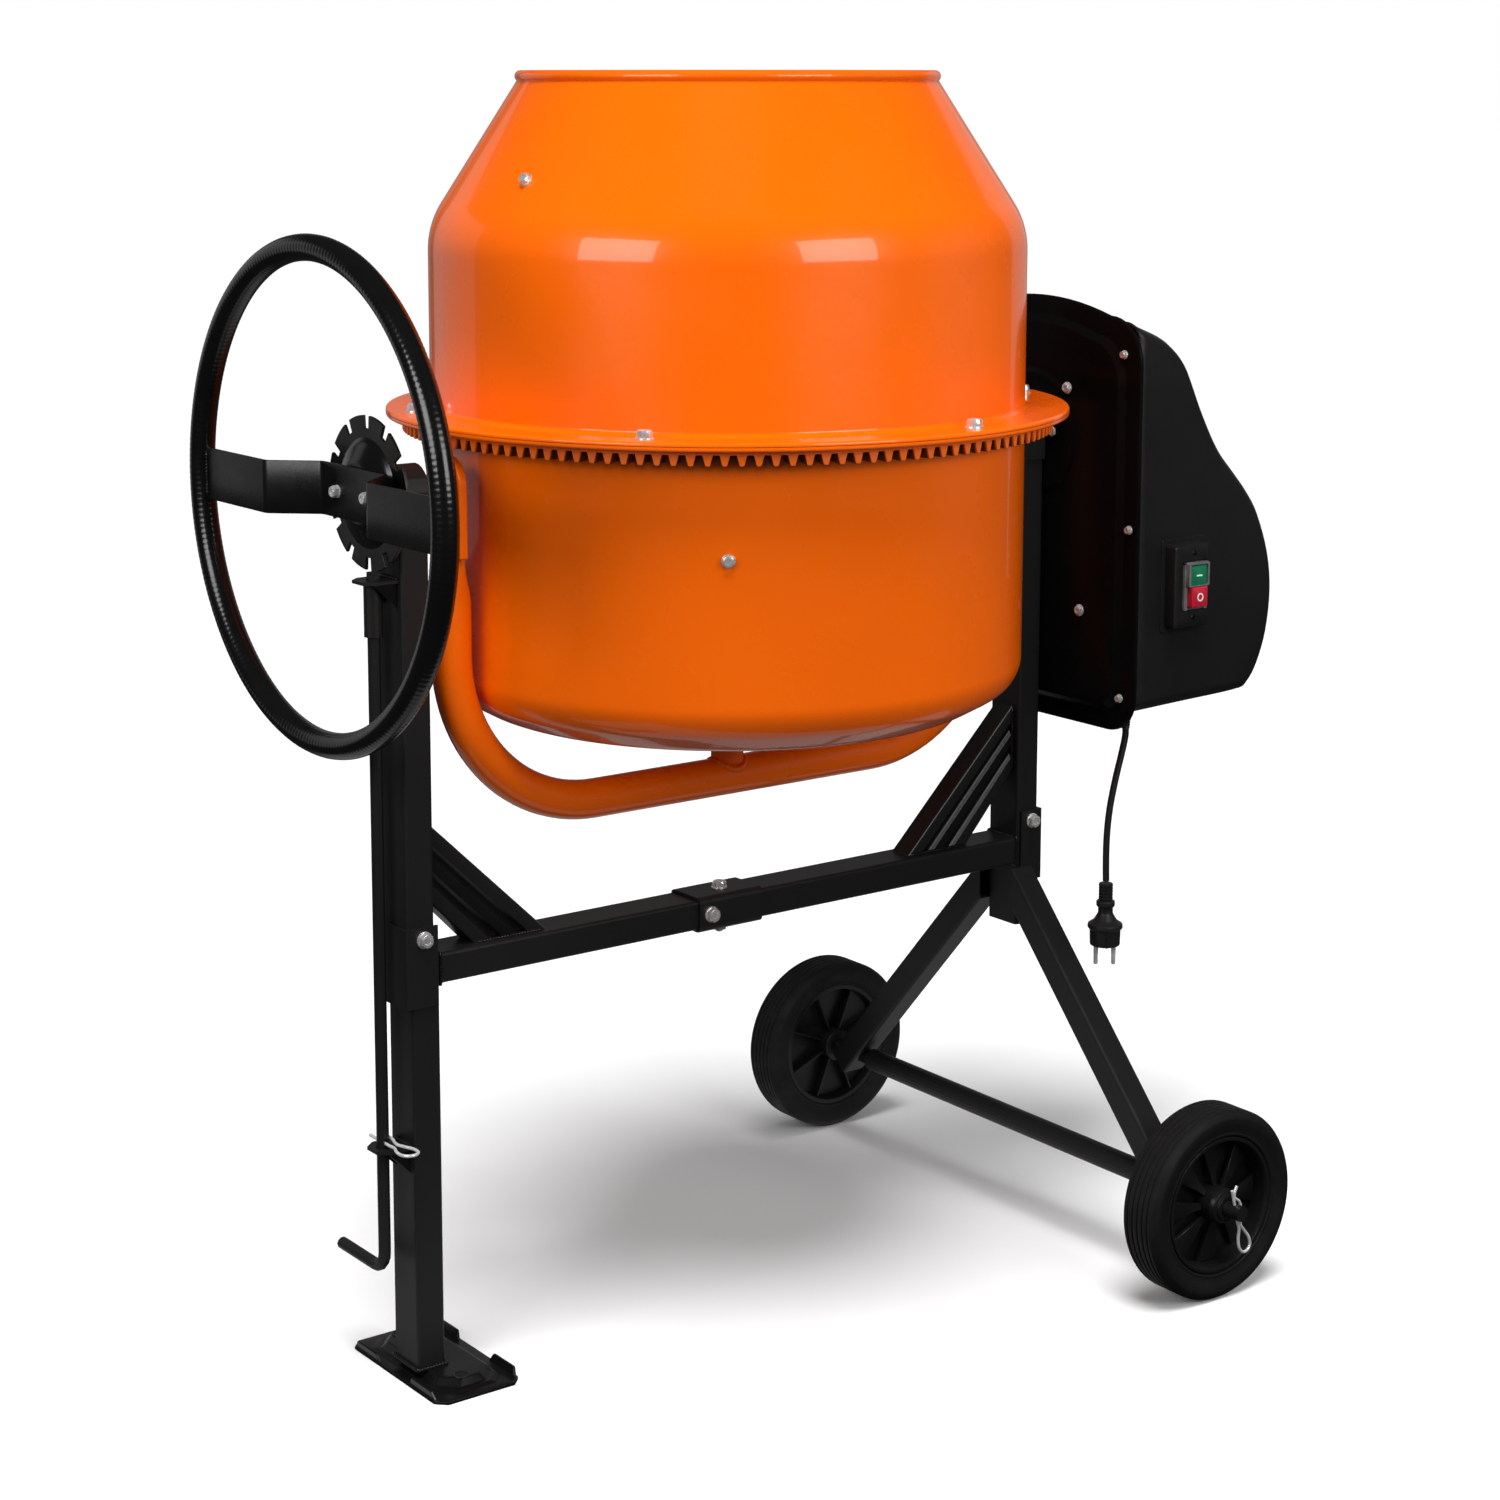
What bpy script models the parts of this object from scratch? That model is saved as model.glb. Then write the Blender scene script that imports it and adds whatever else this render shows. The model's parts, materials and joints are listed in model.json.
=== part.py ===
"""Concrete mixer: a tilting drum on a wheeled steel stand, driven by a ring gear.

Metres, +Z up. X runs along the crossbar, from the handwheel to the motor housing,
and the machine is symmetric about Y = 0. The origin is on the floor, under the
middle of the machine. Distances named ..._X are counted from the drum's axis.
"""
import math

import bmesh
import bpy
from mathutils import Matrix, Vector

# Driving dimensions
DRUM_X = -0.0787          # drum axis, counted from the machine's middle
TILT_Z = 0.862            # tilt axis above the floor
GAP = 0.0005              # clearance between pieces that touch
SHEET = 0.0025            # wall of the pressed parts
TUBE_X, TUBE_Y = 0.030, 0.045      # section of posts and crossbar
TUBE_WALL = 0.002
TUBE_CORNER = 0.003

# Stand
LEG_X, POST_LEFT_X, POST_RIGHT_X = -0.369, -0.374, 0.390
POST_TOP = 0.834
LEG_TOP = 0.4105
RIGHT_POST_BOTTOM = 0.323
BAR_Z = 0.406             # crossbar centre height
BAR_SPLIT_X, SLEEVE_X, SLEEVE_LONG = -0.024, -0.013, 0.078
FOOT_X, FOOT_Y, FOOT_LONG, FOOT_WIDE, FOOT_THICK = -0.349, 0.005, 0.172, 0.094, 0.003
FOOT_STEP = 0.012
CHANNEL_LOW, CHANNEL_HIGH = 0.372, 0.450
CHANNEL_BOLT_Z = 0.438
BOLT_R = 0.004
BRACE_DEPTH, BRACE_WEB = 0.025, 0.0026

# Wheels
WHEEL_R, TYRE_WIDE, TYRE_INNER_R = 0.100, 0.050, 0.0725
WHEEL_Y, AXLE_X, AXLE_R = 0.315, 0.380, 0.008
AXLE_END, CLIP_Y = 0.365, 0.3555
WHEEL_STEPS = 32
LEG_SIDE = 0.030
WHEEL_LEG_Y = 0.262       # wheel leg centre at axle height
WHEEL_LEG_RISE = 0.27 / 0.24

# Drum
WALL_R, MOUTH_R, FLANGE_R = 0.2945, 0.2025, 0.338
BEAD_R = 0.0057
RIM_Z, SHOULDER_Z, FLANGE_TOP, FLANGE_LOW = 1.240, 1.097, 0.920, 0.9117
FLOOR_EDGE_Z, FLOOR_MID_Z = 0.666, 0.5855
CORNER_R, CORNER_Z = 0.245, 0.622
DRUM_STEPS = 44
GEAR_TEETH, GEAR_INNER, GEAR_OUTER = 132, 0.2965, 0.322
GEAR_TOP, GEAR_ROOT, GEAR_TIP = 0.9112, 0.9070, 0.8970
PINION_TEETH = 17

# Yoke
YOKE_R, YOKE_BEND = 0.0195, 0.160
YOKE_LEFT_X, YOKE_RIGHT_X, YOKE_LOW = -0.323, 0.343, 0.5395
YOKE_TOP = 0.890
SHAFT_R, HUB_R, HUB_BORE = 0.0125, 0.017, 0.0095
DRIVE_R = 0.008

# Handwheel and lock
HANDWHEEL_X, HANDWHEEL_R, GRIP_R = -0.4635, 0.2265, 0.0125
STRAP_TALL, STRAP_THICK, STRAP_FLAT_X = 0.050, 0.004, -0.4235
DISC_X, DISC_R, DISC_THICK, NOTCHES = -0.409, 0.072, 0.003, 12
NOTCH_HALF, NOTCH_FLOOR = 0.0040, 0.0600
ROD_X, ROD_R, ROD_BORE = -0.4060, 0.006, 0.0067
ROD_LOW, ROD_FOOT_Y = 0.112, 0.083
TAB_TOP, TAB_THICK, LOW_TAB_Z = 0.7815, 0.003, 0.235

# Motor housing
PANEL_X, PANEL_BACK = 0.4095, 0.4190
PANEL_HALF, PANEL_LOW, PANEL_HIGH = 0.157, 0.553, 1.009
COVER_HALF, COVER_WALL = 0.150, 0.003
PULLEY_X, PULLEY_WIDE, PULLEY_R, MOTOR_PULLEY_R = 0.4400, 0.018, 0.088, 0.0166
MOTOR_Z, MOTOR_R = 0.665, 0.062
SWITCH_X, SWITCH_Z, SWITCH_FACE = 0.4885, 0.7075, -0.1655
BUTTON_PITCH = 0.023

# Mains lead: its route from the gland to the plug, and its plug
CORD_R = 0.003
CORD_ROUTE = (
    (0.4500, -0.1100, 0.5483), (0.4500, -0.1100, 0.5420), (0.4484, -0.1100, 0.5340),
    (0.4456, -0.1100, 0.5240), (0.4424, -0.1100, 0.5135), (0.4382, -0.1100, 0.5000),
    (0.4338, -0.1100, 0.4840), (0.4296, -0.1100, 0.4660), (0.4266, -0.1100, 0.4460),
    (0.4252, -0.1100, 0.4240), (0.4252, -0.1100, 0.4030), (0.4258, -0.1100, 0.3840),
)
PLUG_TOP = 0.3835
GLAND_TOP, GLAND_LONG = 0.5728, 0.024
CORD_SAMPLES = 2

ALONG_X = (math.pi / 2, 0.0, math.pi / 2)     # local X, Y, Z to world Y, Z, X
ALONG_Y = (math.pi / 2, 0.0, 0.0)             # local X, Y, Z to world X, Z, -Y

for old in list(bpy.data.objects):
    bpy.data.objects.remove(old, do_unlink=True)

MODEL = bpy.data.collections.new("concrete_mixer")
CUTTERS = bpy.data.collections.new("cutters")
for group in (MODEL, CUTTERS):
    bpy.context.scene.collection.children.link(group)


# Materials

def material(name, colour, roughness, metallic=0.0):
    made = bpy.data.materials.new(name)
    made.use_nodes = True
    shader = made.node_tree.nodes["Principled BSDF"]
    shader.inputs["Base Color"].default_value = (*colour, 1.0)
    shader.inputs["Roughness"].default_value = roughness
    shader.inputs["Metallic"].default_value = metallic
    return made


ORANGE = material("orange_paint", (0.90, 0.19, 0.005), 0.25)
BLACK = material("black_paint", (0.012, 0.012, 0.013), 0.38)
ZINC = material("zinc_plate", (0.62, 0.62, 0.60), 0.35, 1.0)
STEEL = material("bright_steel", (0.50, 0.50, 0.50), 0.30, 1.0)
IRON = material("cast_iron", (0.16, 0.16, 0.16), 0.60, 1.0)
RUBBER = material("tyre_rubber", (0.015, 0.015, 0.015), 0.75)
PLASTIC = material("black_plastic", (0.018, 0.018, 0.019), 0.48)
GREEN = material("green_plastic", (0.02, 0.30, 0.14), 0.35)
RED = material("red_plastic", (0.62, 0.02, 0.03), 0.35)
GREY = material("grey_plastic", (0.20, 0.21, 0.21), 0.30)
ALUMINIUM = material("motor_aluminium", (0.55, 0.56, 0.57), 0.45, 1.0)


# Modelling helpers

def empty(name, parent, location, rotation=(0, 0, 0)):
    made = bpy.data.objects.new(name, None)
    made.empty_display_size = 0.05
    made.parent = parent
    made.location = location
    made.rotation_euler = rotation
    MODEL.objects.link(made)
    return made


def add(name, data, look, parent, location=(0, 0, 0), rotation=(0, 0, 0)):
    """Link a mesh or curve as a named piece, placed under its parent."""
    made = bpy.data.objects.new(name, data)
    MODEL.objects.link(made)
    data.materials.append(look)
    made.parent = parent
    made.location = location
    made.rotation_euler = rotation
    return made


def smooth(piece, degrees=35):
    piece.data.shade_smooth()
    piece.data.set_sharp_from_angle(angle=math.radians(degrees))
    return piece


def mesh_from(maker, name):
    """Run a bmesh maker and return its mesh."""
    bm = bmesh.new()
    maker(bm)
    mesh = bpy.data.meshes.new(name)
    bm.to_mesh(mesh)
    bm.free()
    return mesh


def block(name, size, look, parent, location, rotation=(0, 0, 0), bevel=0.0):
    scale = Matrix.Diagonal((*size, 1.0))
    mesh = mesh_from(lambda bm: bmesh.ops.create_cube(bm, size=1.0, matrix=scale), name)
    piece = add(name, mesh, look, parent, location, rotation)
    if bevel:
        edge = piece.modifiers.new("edges", "BEVEL")
        edge.width, edge.segments = bevel, 2
    return piece


def cylinder(name, radius, length, look, parent, location, rotation=(0, 0, 0), sides=20):
    mesh = mesh_from(lambda bm: bmesh.ops.create_cone(
        bm, cap_ends=True, segments=sides, radius1=radius, radius2=radius, depth=length), name)
    return smooth(add(name, mesh, look, parent, location, rotation))


def turned(name, profile, look, parent, location=(0, 0, 0), rotation=(0, 0, 0), steps=32, loop=False):
    """Spin an (r, z) profile about local Z; its outer side runs from top to bottom."""
    mesh = bpy.data.meshes.new(name)
    count = len(profile)
    edges = [(i, (i + 1) % count) for i in range(count if loop else count - 1)]
    mesh.from_pydata([(r, 0.0, z) for r, z in profile], edges, [])
    piece = add(name, mesh, look, parent, location, rotation)
    spin = piece.modifiers.new("spin", "SCREW")
    spin.angle = 2 * math.pi
    spin.steps = spin.render_steps = steps
    spin.use_merge_vertices = True
    spin.merge_threshold = 0.00001
    return piece


def outline(name, loops, depth, look, parent, location=(0, 0, 0), rotation=(0, 0, 0)):
    """A flat outline in local XY, with any holes as further loops, as a solid of this depth."""
    curve = bpy.data.curves.new(name, "CURVE")
    curve.dimensions = "2D"
    curve.fill_mode = "BOTH"
    curve.extrude = depth / 2
    for loop in loops:
        line = curve.splines.new("POLY")
        line.points.add(len(loop) - 1)
        for point, (x, y) in zip(line.points, loop):
            point.co = (x, y, 0.0, 1.0)
        line.use_cyclic_u = True
    return add(name, curve, look, parent, location, rotation)


def tube(name, points, radius, look, parent, location=(0, 0, 0), rotation=(0, 0, 0), sides=3, ring=False):
    """A round bar along a list of points; sides is the curve's bevel resolution."""
    curve = bpy.data.curves.new(name, "CURVE")
    curve.dimensions = "3D"
    curve.bevel_depth = radius
    curve.bevel_resolution = sides
    curve.use_fill_caps = not ring
    line = curve.splines.new("POLY")
    line.points.add(len(points) - 1)
    for point, place in zip(line.points, points):
        point.co = (*place, 1.0)
    line.use_cyclic_u = ring
    return add(name, curve, look, parent, location, rotation)


def as_mesh(piece):
    """Turn a curve or a modified piece into a plain mesh with its caps welded."""
    bpy.context.view_layer.update()
    mesh = bpy.data.meshes.new_from_object(piece.evaluated_get(bpy.context.evaluated_depsgraph_get()))
    bm = bmesh.new()
    bm.from_mesh(mesh)
    bmesh.ops.remove_doubles(bm, verts=bm.verts, dist=0.00001)
    bm.to_mesh(mesh)
    bm.free()
    name, parent, group = piece.name, piece.parent, piece.users_collection[0]
    location, rotation = piece.location.copy(), piece.rotation_euler.copy()
    bpy.data.objects.remove(piece, do_unlink=True)
    made = bpy.data.objects.new(name, mesh)
    group.objects.link(made)
    made.parent = parent
    made.location = location
    made.rotation_euler = rotation
    return made


def combine(piece, other, operation):
    """Cut the other shape out of a mesh piece, or join it to the piece."""
    if other.type == "CURVE":
        other = as_mesh(other)
    MODEL.objects.unlink(other)
    CUTTERS.objects.link(other)
    other.hide_render = True
    other.display_type = "WIRE"
    step = piece.modifiers.new(operation.lower(), "BOOLEAN")
    step.operation = operation
    step.solver = "EXACT"
    step.object = other
    return piece


def drill(piece, radius, length, parent, location, rotation=(0, 0, 0), sides=16):
    """Cut a round hole along the local Z of a rotation."""
    tool = cylinder(f"{piece.name}_drill", radius, length, STEEL, parent, location, rotation, sides)
    return combine(piece, tool, "DIFFERENCE")


def arc(centre, radius, start, end, steps):
    """Points on an arc, in degrees, both ends included."""
    angles = [math.radians(start + (end - start) * i / steps) for i in range(steps + 1)]
    return [(centre[0] + radius * math.cos(a), centre[1] + radius * math.sin(a)) for a in angles]


def circle(radius, sides, centre=(0.0, 0.0)):
    return arc(centre, radius, 0, 360 - 360 / sides, sides - 1)


def rounded_box(half_x, half_y, corner, steps=3):
    """A rectangle with round corners, anticlockwise."""
    points = []
    for quarter, (sx, sy) in enumerate(((1, 1), (-1, 1), (-1, -1), (1, -1))):
        centre = (sx * (half_x - corner), sy * (half_y - corner))
        points += arc(centre, corner, 90 * quarter, 90 * quarter + 90, steps)
    return points


def box_tube(name, size, length, look, parent, location, rotation=(0, 0, 0)):
    """A hollow rectangular tube along local Z."""
    half_x, half_y = size[0] / 2, size[1] / 2
    inner = rounded_box(half_x - TUBE_WALL, half_y - TUBE_WALL, TUBE_CORNER / 2, 1)
    loops = [rounded_box(half_x, half_y, TUBE_CORNER), inner]
    return smooth(as_mesh(outline(name, loops, length, look, parent, location, rotation)), 50)


def upright(name, x, low, high, parent):
    return box_tube(name, (TUBE_X, TUBE_Y), high - low, BLACK, parent, (x, 0, (low + high) / 2))


def bolt(name, parent, location, rotation, grip, radius=BOLT_R):
    """A hex bolt: its head stands on local +Z of the seat, its shank runs down local -Z."""
    head_r, head_high, washer_r, washer_high = 1.9 * radius, 1.3 * radius, 2.2 * radius, 0.0012
    piece = cylinder(name, head_r, head_high, ZINC, parent, location, rotation, 6)
    piece.data.transform(Matrix.Translation((0, 0, washer_high + head_high / 2 - 0.0001)))
    washer = cylinder(f"{name}_washer", washer_r, washer_high, ZINC, parent, location, rotation, 16)
    washer.data.transform(Matrix.Translation((0, 0, washer_high / 2 + GAP / 2)))
    shank = cylinder(f"{name}_shank", radius, grip, ZINC, parent, location, rotation, 10)
    shank.data.transform(Matrix.Translation((0, 0, washer_high - grip / 2)))
    combine(piece, washer, "UNION")
    return combine(piece, shank, "UNION")


# Stand

def cut_corners(half_x, half_y, cut):
    """An outline with its four corners cut off."""
    edge = []
    for sx, sy in ((1, 1), (-1, 1), (-1, -1), (1, -1)):
        pair = [(sx * half_x, sy * (half_y - cut)), (sx * (half_x - cut), sy * half_y)]
        edge += pair if sx * sy > 0 else pair[::-1]
    return edge


def foot_plate(root):
    """A plate with a raised middle under the leg and upturned lips along its long sides."""
    half_x, half_y, cut = FOOT_WIDE / 2, FOOT_LONG / 2, 0.010
    holes = [circle(0.0055, 12, (-0.006, sy * 0.058)) for sy in (1, -1)]
    place = (FOOT_X, FOOT_Y, FOOT_THICK / 2)
    loops = [cut_corners(half_x, half_y, cut), *holes]
    plate = as_mesh(outline("foot_plate", loops, FOOT_THICK, BLACK, root, place))
    rise = FOOT_STEP - FOOT_THICK
    loops = [cut_corners(half_x - 0.013, half_y - 0.013, 0.016), *holes]
    step = outline("foot_step", loops, rise + 0.001, BLACK, root, (FOOT_X, FOOT_Y, FOOT_STEP - (rise + 0.001) / 2))
    combine(plate, as_mesh(step), "UNION")
    lip_high, lip_long = 0.010, 0.048
    for sx in (1, -1):
        for sy in (1, -1):
            y = FOOT_Y + sy * (half_y - cut - lip_long / 2)
            spot = (FOOT_X + sx * (half_x - 0.0022), y, lip_high / 2 + 0.0006)
            lean = (0, sx * math.radians(12), 0)
            lip = block("foot_lip", (FOOT_THICK * 0.8, lip_long, lip_high), BLACK, root, spot, lean)
            combine(plate, lip, "UNION")
    return plate


def channel(name, root, x_web, x_open, holes):
    """A U channel round a post: its web is at x_web and its open side at x_open."""
    half = TUBE_Y / 2 + GAP
    out = half + SHEET
    side = math.copysign(SHEET, x_web - x_open)
    points = [(x_open, -out), (x_web, -out), (x_web, out), (x_open, out),
              (x_open, half), (x_web - side, half), (x_web - side, -half), (x_open, -half)]
    middle = (0, 0, (CHANNEL_LOW + CHANNEL_HIGH) / 2)
    piece = as_mesh(outline(name, [points], CHANNEL_HIGH - CHANNEL_LOW, BLACK, root, middle))
    for x in holes:
        drill(piece, BOLT_R + GAP, 0.08, root, (x, 0, CHANNEL_BOLT_Z), ALONG_Y)
    return piece


def brace(name, root, corner_x, side, high, reach):
    """A pressed diagonal: side is +1 where it leans to +X from its post, -1 where it leans back."""
    low = BAR_Z + TUBE_X / 2 + GAP
    band = 0.0765
    points = [(corner_x, low + high), (corner_x, low + high - band),
              (corner_x + side * (reach - band - 0.008), low), (corner_x + side * reach, low)]
    piece = as_mesh(outline(name, [points], BRACE_DEPTH, BLACK, root, rotation=ALONG_Y))
    middle = sum((Vector(p) for p in points), Vector((0, 0))) / 4
    inside = [tuple(middle + (Vector(p) - middle) * 0.93) for p in points]
    pocket = outline(f"{name}_pocket", [inside], BRACE_DEPTH, BLACK, root, (0, BRACE_WEB, 0), ALONG_Y)
    combine(piece, pocket, "DIFFERENCE")
    lean = math.radians(90 + 45 * side)
    for shift in (-0.009, 0.009):
        spot = (middle.x + side * shift * 0.7, -BRACE_DEPTH / 2 - 0.0022, middle.y + shift * 0.7)
        groove = cylinder(f"{name}_groove", 0.0035, 0.095, BLACK, root, spot, (0, lean, 0), 8)
        combine(piece, groove, "DIFFERENCE")
    return piece


def crossbar(root):
    spans = {"crossbar_left": (LEG_X + TUBE_X / 2 + GAP, BAR_SPLIT_X - GAP),
             "crossbar_right": (BAR_SPLIT_X + GAP, POST_RIGHT_X - TUBE_X / 2 - GAP)}
    for name, (start, end) in spans.items():
        middle = (start + end) / 2
        bar = box_tube(name, (TUBE_Y, TUBE_X), end - start, BLACK, root, (middle, 0, BAR_Z), ALONG_X)
        if name == "crossbar_left":
            drill(bar, BOLT_R + GAP, 0.08, root, (BAR_SPLIT_X - 0.014, 0, BAR_Z), ALONG_Y)
        else:
            drill(bar, BOLT_R + GAP, 0.08, root, (BAR_SPLIT_X + 0.014, 0, BAR_Z))
    half_y, half_z = TUBE_Y / 2 + GAP, TUBE_X / 2 + GAP
    loops = [rounded_box(half_y + SHEET, half_z + SHEET, TUBE_CORNER + SHEET),
             rounded_box(half_y, half_z, TUBE_CORNER * 0.8, 2)]
    place = (SLEEVE_X, 0, BAR_Z)
    sleeve = as_mesh(outline("crossbar_sleeve", loops, SLEEVE_LONG, BLACK, root, place, ALONG_X))
    drill(sleeve, BOLT_R + GAP, 0.08, root, (BAR_SPLIT_X - 0.014, 0, BAR_Z), ALONG_Y)
    drill(sleeve, BOLT_R + GAP, 0.08, root, (BAR_SPLIT_X + 0.014, 0, BAR_Z))
    smooth(sleeve, 50)
    face_y, face_z = half_y + SHEET + GAP, half_z + SHEET + GAP
    bolt("sleeve_side_bolt", root, (BAR_SPLIT_X - 0.014, -face_y, BAR_Z), ALONG_Y, 2 * face_y + 0.004)
    bolt("sleeve_top_bolt", root, (BAR_SPLIT_X + 0.014, 0, BAR_Z + face_z), (0, 0, 0), 2 * face_z + 0.004)


def bearing(name, root, x, bore):
    """A bearing block on top of a post, round over the shaft."""
    half = TUBE_Y / 2 + 0.002
    low = POST_TOP + GAP - TILT_Z
    shape = [(-half, low), (half, low), *arc((0, 0), half, 0, 180, 12)]
    place = (x, 0, TILT_Z)
    return outline(name, [shape, circle(bore, 20)], TUBE_X, BLACK, root, place, ALONG_X)


def wheel_leg(name, root, side):
    """A splayed leg from the right post down to the axle; side is -1 in front and +1 behind."""
    axle = Vector((AXLE_X, side * WHEEL_LEG_Y, WHEEL_R))
    way = Vector((0, -side, WHEEL_LEG_RISE)).normalized()
    start, end = axle - way * 0.018, axle + way * 0.385
    lean = side * math.atan2(1.0, WHEEL_LEG_RISE)
    place = (start + end) / 2
    leg = box_tube(name, (LEG_SIDE, LEG_SIDE), (end - start).length, BLACK, root, place, (lean, 0, 0))
    clear = TUBE_Y / 2 + GAP + SHEET + GAP
    trim = block(f"{name}_trim", (0.1, 0.2, 0.3), BLACK, root, (AXLE_X, side * (clear - 0.1), 0.40))
    combine(leg, trim, "DIFFERENCE")
    return drill(leg, AXLE_R + GAP, 0.12, root, axle, ALONG_Y)


def axle(root):
    place = (AXLE_X, 0, WHEEL_R)
    shaft = cylinder("axle_shaft", AXLE_R, 2 * AXLE_END, STEEL, root, place, ALONG_Y, 16)
    for side in (-1, 1):
        drill(shaft, 0.0022, 0.04, root, (AXLE_X, side * CLIP_Y, WHEEL_R), sides=8)
    length = 2 * (WHEEL_LEG_Y - LEG_SIDE / 2 / math.cos(math.atan2(1.0, WHEEL_LEG_RISE)) - 0.0145)
    loops = [circle(0.0125, 20), circle(AXLE_R + GAP, 16)]
    cross = outline("axle_tube", loops, length, BLACK, root, place, ALONG_Y)
    return shaft, cross


def spring_clip(name, parent, location, rotation, bar_r):
    """An R clip: a straight leg through the bar, a loop, and a sprung leg over the bar."""
    wire, loop_r, tail = 0.0013, 0.0065, 0.024
    over = bar_r + wire + 0.0012
    straight = [(-tail, 0.0), (-tail / 2, 0.0), (0.0, 0.0), (tail / 2, 0.0)]
    ring = arc((tail + 0.002, loop_r), loop_r, -90, 160, 9)
    hump = arc((0.0, 0.0), over, 35, 145, 6)
    ends = [(-over * 0.95, over * 0.42), (-tail * 0.75, over * 0.55), (-tail, over * 0.95)]
    route = [*straight, *ring, (over * 0.98, over * 0.40), *hump, *ends]
    rise = 0.0004
    points = [(x, y, rise * (i - 2) if i > 3 else 0.0) for i, (x, y) in enumerate(route)]
    return tube(name, points, wire, ZINC, parent, location, rotation, 1)


def rod_guides(root, rod_axis):
    """The two tabs on the left leg that the lock rod slides in."""
    reach = 0.0335
    for name, face, top in (("rod_guide", POST_LEFT_X, TAB_TOP), ("rod_lower_tab", LEG_X, LOW_TAB_Z)):
        edge = face - TUBE_X / 2 - GAP
        shape = [(edge, -0.0175), (edge, 0.0175), (edge - reach + 0.01, 0.0175), (edge - reach, 0.009),
                 (edge - reach, -0.009), (edge - reach + 0.01, -0.0175)]
        bore = circle(ROD_BORE, 16, (ROD_X, 0.0))
        spot = (0, 0, top - TAB_THICK / 2)
        tab = as_mesh(outline(name, [shape, bore], TAB_THICK, BLACK, root, spot))
        if name == "rod_guide":
            loops = [circle(0.0090, 16), circle(ROD_BORE, 16)]
            sleeve = outline("rod_sleeve", loops, 0.052, BLACK, rod_axis, (0, 0, TAB_TOP - 0.0275))
            combine(tab, sleeve, "UNION")
            smooth(tab)


def lock_rod(rod_axis):
    """The lock rod: a flat tongue for the disc's notches, and a bent foot end."""
    bend, body_top = 0.018, TAB_TOP - 0.0015
    bottom = [(0, bend - bend * math.cos(a), ROD_LOW + bend - bend * math.sin(a))
              for a in (math.radians(18 * i) for i in range(6))]
    points = [(0, 0, body_top), (0, 0, 0.5), *bottom, (0, ROD_FOOT_Y, ROD_LOW)]
    rod = as_mesh(tube("lock_rod", points, ROD_R, BLACK, rod_axis, sides=3))
    low, top = body_top - 0.004, TILT_Z - DISC_R - 0.0012
    size = (0.0100, 2 * (NOTCH_HALF - 0.0011), top - low)
    combine(rod, block("lock_rod_tongue", size, BLACK, rod_axis, (0, 0, (low + top) / 2)), "UNION")
    drill(rod, 0.0022, 0.03, rod_axis, (0, 0, LOW_TAB_Z + 0.0075), ALONG_Y, 8)
    return smooth(rod)


def wheel(name, axis):
    """A solid tyre on a moulded rim, turned about the axle; local Z points away from the stand."""
    half = TYRE_WIDE / 2
    tread = [(TYRE_INNER_R, 0.8 * half), (0.090, half), (0.097, 0.85 * half), (WHEEL_R, 0.5 * half)]
    section = tread + [(r, -z) for r, z in tread[::-1]]
    smooth(turned(f"{name}_tyre", section, RUBBER, axis, steps=WHEEL_STEPS, loop=True))
    rim_r, hub_r, bore = TYRE_INNER_R - GAP, 0.0185, AXLE_R + GAP
    spokes, gap_in, gap_out = 8, 0.027, 0.058
    loops = [circle(0.068, WHEEL_STEPS), circle(bore, 16)]
    for k in range(spokes):
        turn = 360 * (k + 0.5) / spokes
        outside = arc((0, 0), gap_out, turn - 16, turn + 16, 4)
        loops.append(outside + arc((0, 0), gap_in, turn + 9, turn - 9, 2))
    rim = as_mesh(outline(f"{name}_rim", loops, 0.006, PLASTIC, axis))
    barrel = [(rim_r - 0.0055, 0.019), (rim_r, 0.018), (rim_r, -0.018), (rim_r - 0.0055, -0.019)]
    hub = [(bore, 0.030), (hub_r - 0.002, 0.030), (hub_r, 0.022), (hub_r, -0.026), (bore, -0.026)]
    ring = turned(f"{name}_barrel", barrel, PLASTIC, axis, steps=WHEEL_STEPS, loop=True)
    combine(rim, as_mesh(ring), "UNION")
    combine(rim, as_mesh(turned(f"{name}_hub", hub, PLASTIC, axis, steps=16, loop=True)), "UNION")
    return smooth(rim)


# Tilting frame

def yoke(tilt):
    """The bent tube that carries the drum: flat at its left end, round at its right end."""
    low = YOKE_LOW - TILT_Z
    plate_low = -0.075
    left = arc((YOKE_LEFT_X + YOKE_BEND, low + YOKE_BEND), YOKE_BEND, 180, 270, 9)
    right = arc((YOKE_RIGHT_X - YOKE_BEND, low + YOKE_BEND), YOKE_BEND, 270, 360, 9)
    route = [(YOKE_LEFT_X, plate_low + 0.02), *left, *right, (YOKE_RIGHT_X, YOKE_TOP - TILT_Z)]
    frame = as_mesh(tube("yoke", [(x, 0, z) for x, z in route], YOKE_R, ORANGE, tilt, sides=4))
    top, half = YOKE_TOP - TILT_Z, 0.026
    shape = [(-half + 0.004, plate_low - 0.012), (half - 0.004, plate_low - 0.012), (half, plate_low + 0.01),
             *arc((0, top - half), half, 0, 180, 8), (-half, plate_low + 0.01)]
    ear = outline("yoke_ear", [shape], 0.009, ORANGE, tilt, (YOKE_LEFT_X, 0, 0), ALONG_X)
    combine(frame, ear, "UNION")
    drill(frame, SHAFT_R + GAP, 0.06, tilt, (YOKE_LEFT_X, 0, 0), ALONG_X)
    drill(frame, HUB_R + GAP, 0.06, tilt, (YOKE_RIGHT_X, 0, 0), ALONG_X, 20)
    seat = block("yoke_seat", (0.034, 0.06, 0.012), ORANGE, tilt, (0, 0, low + YOKE_R + 0.004))
    combine(frame, seat, "DIFFERENCE")
    return smooth(frame)


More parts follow.
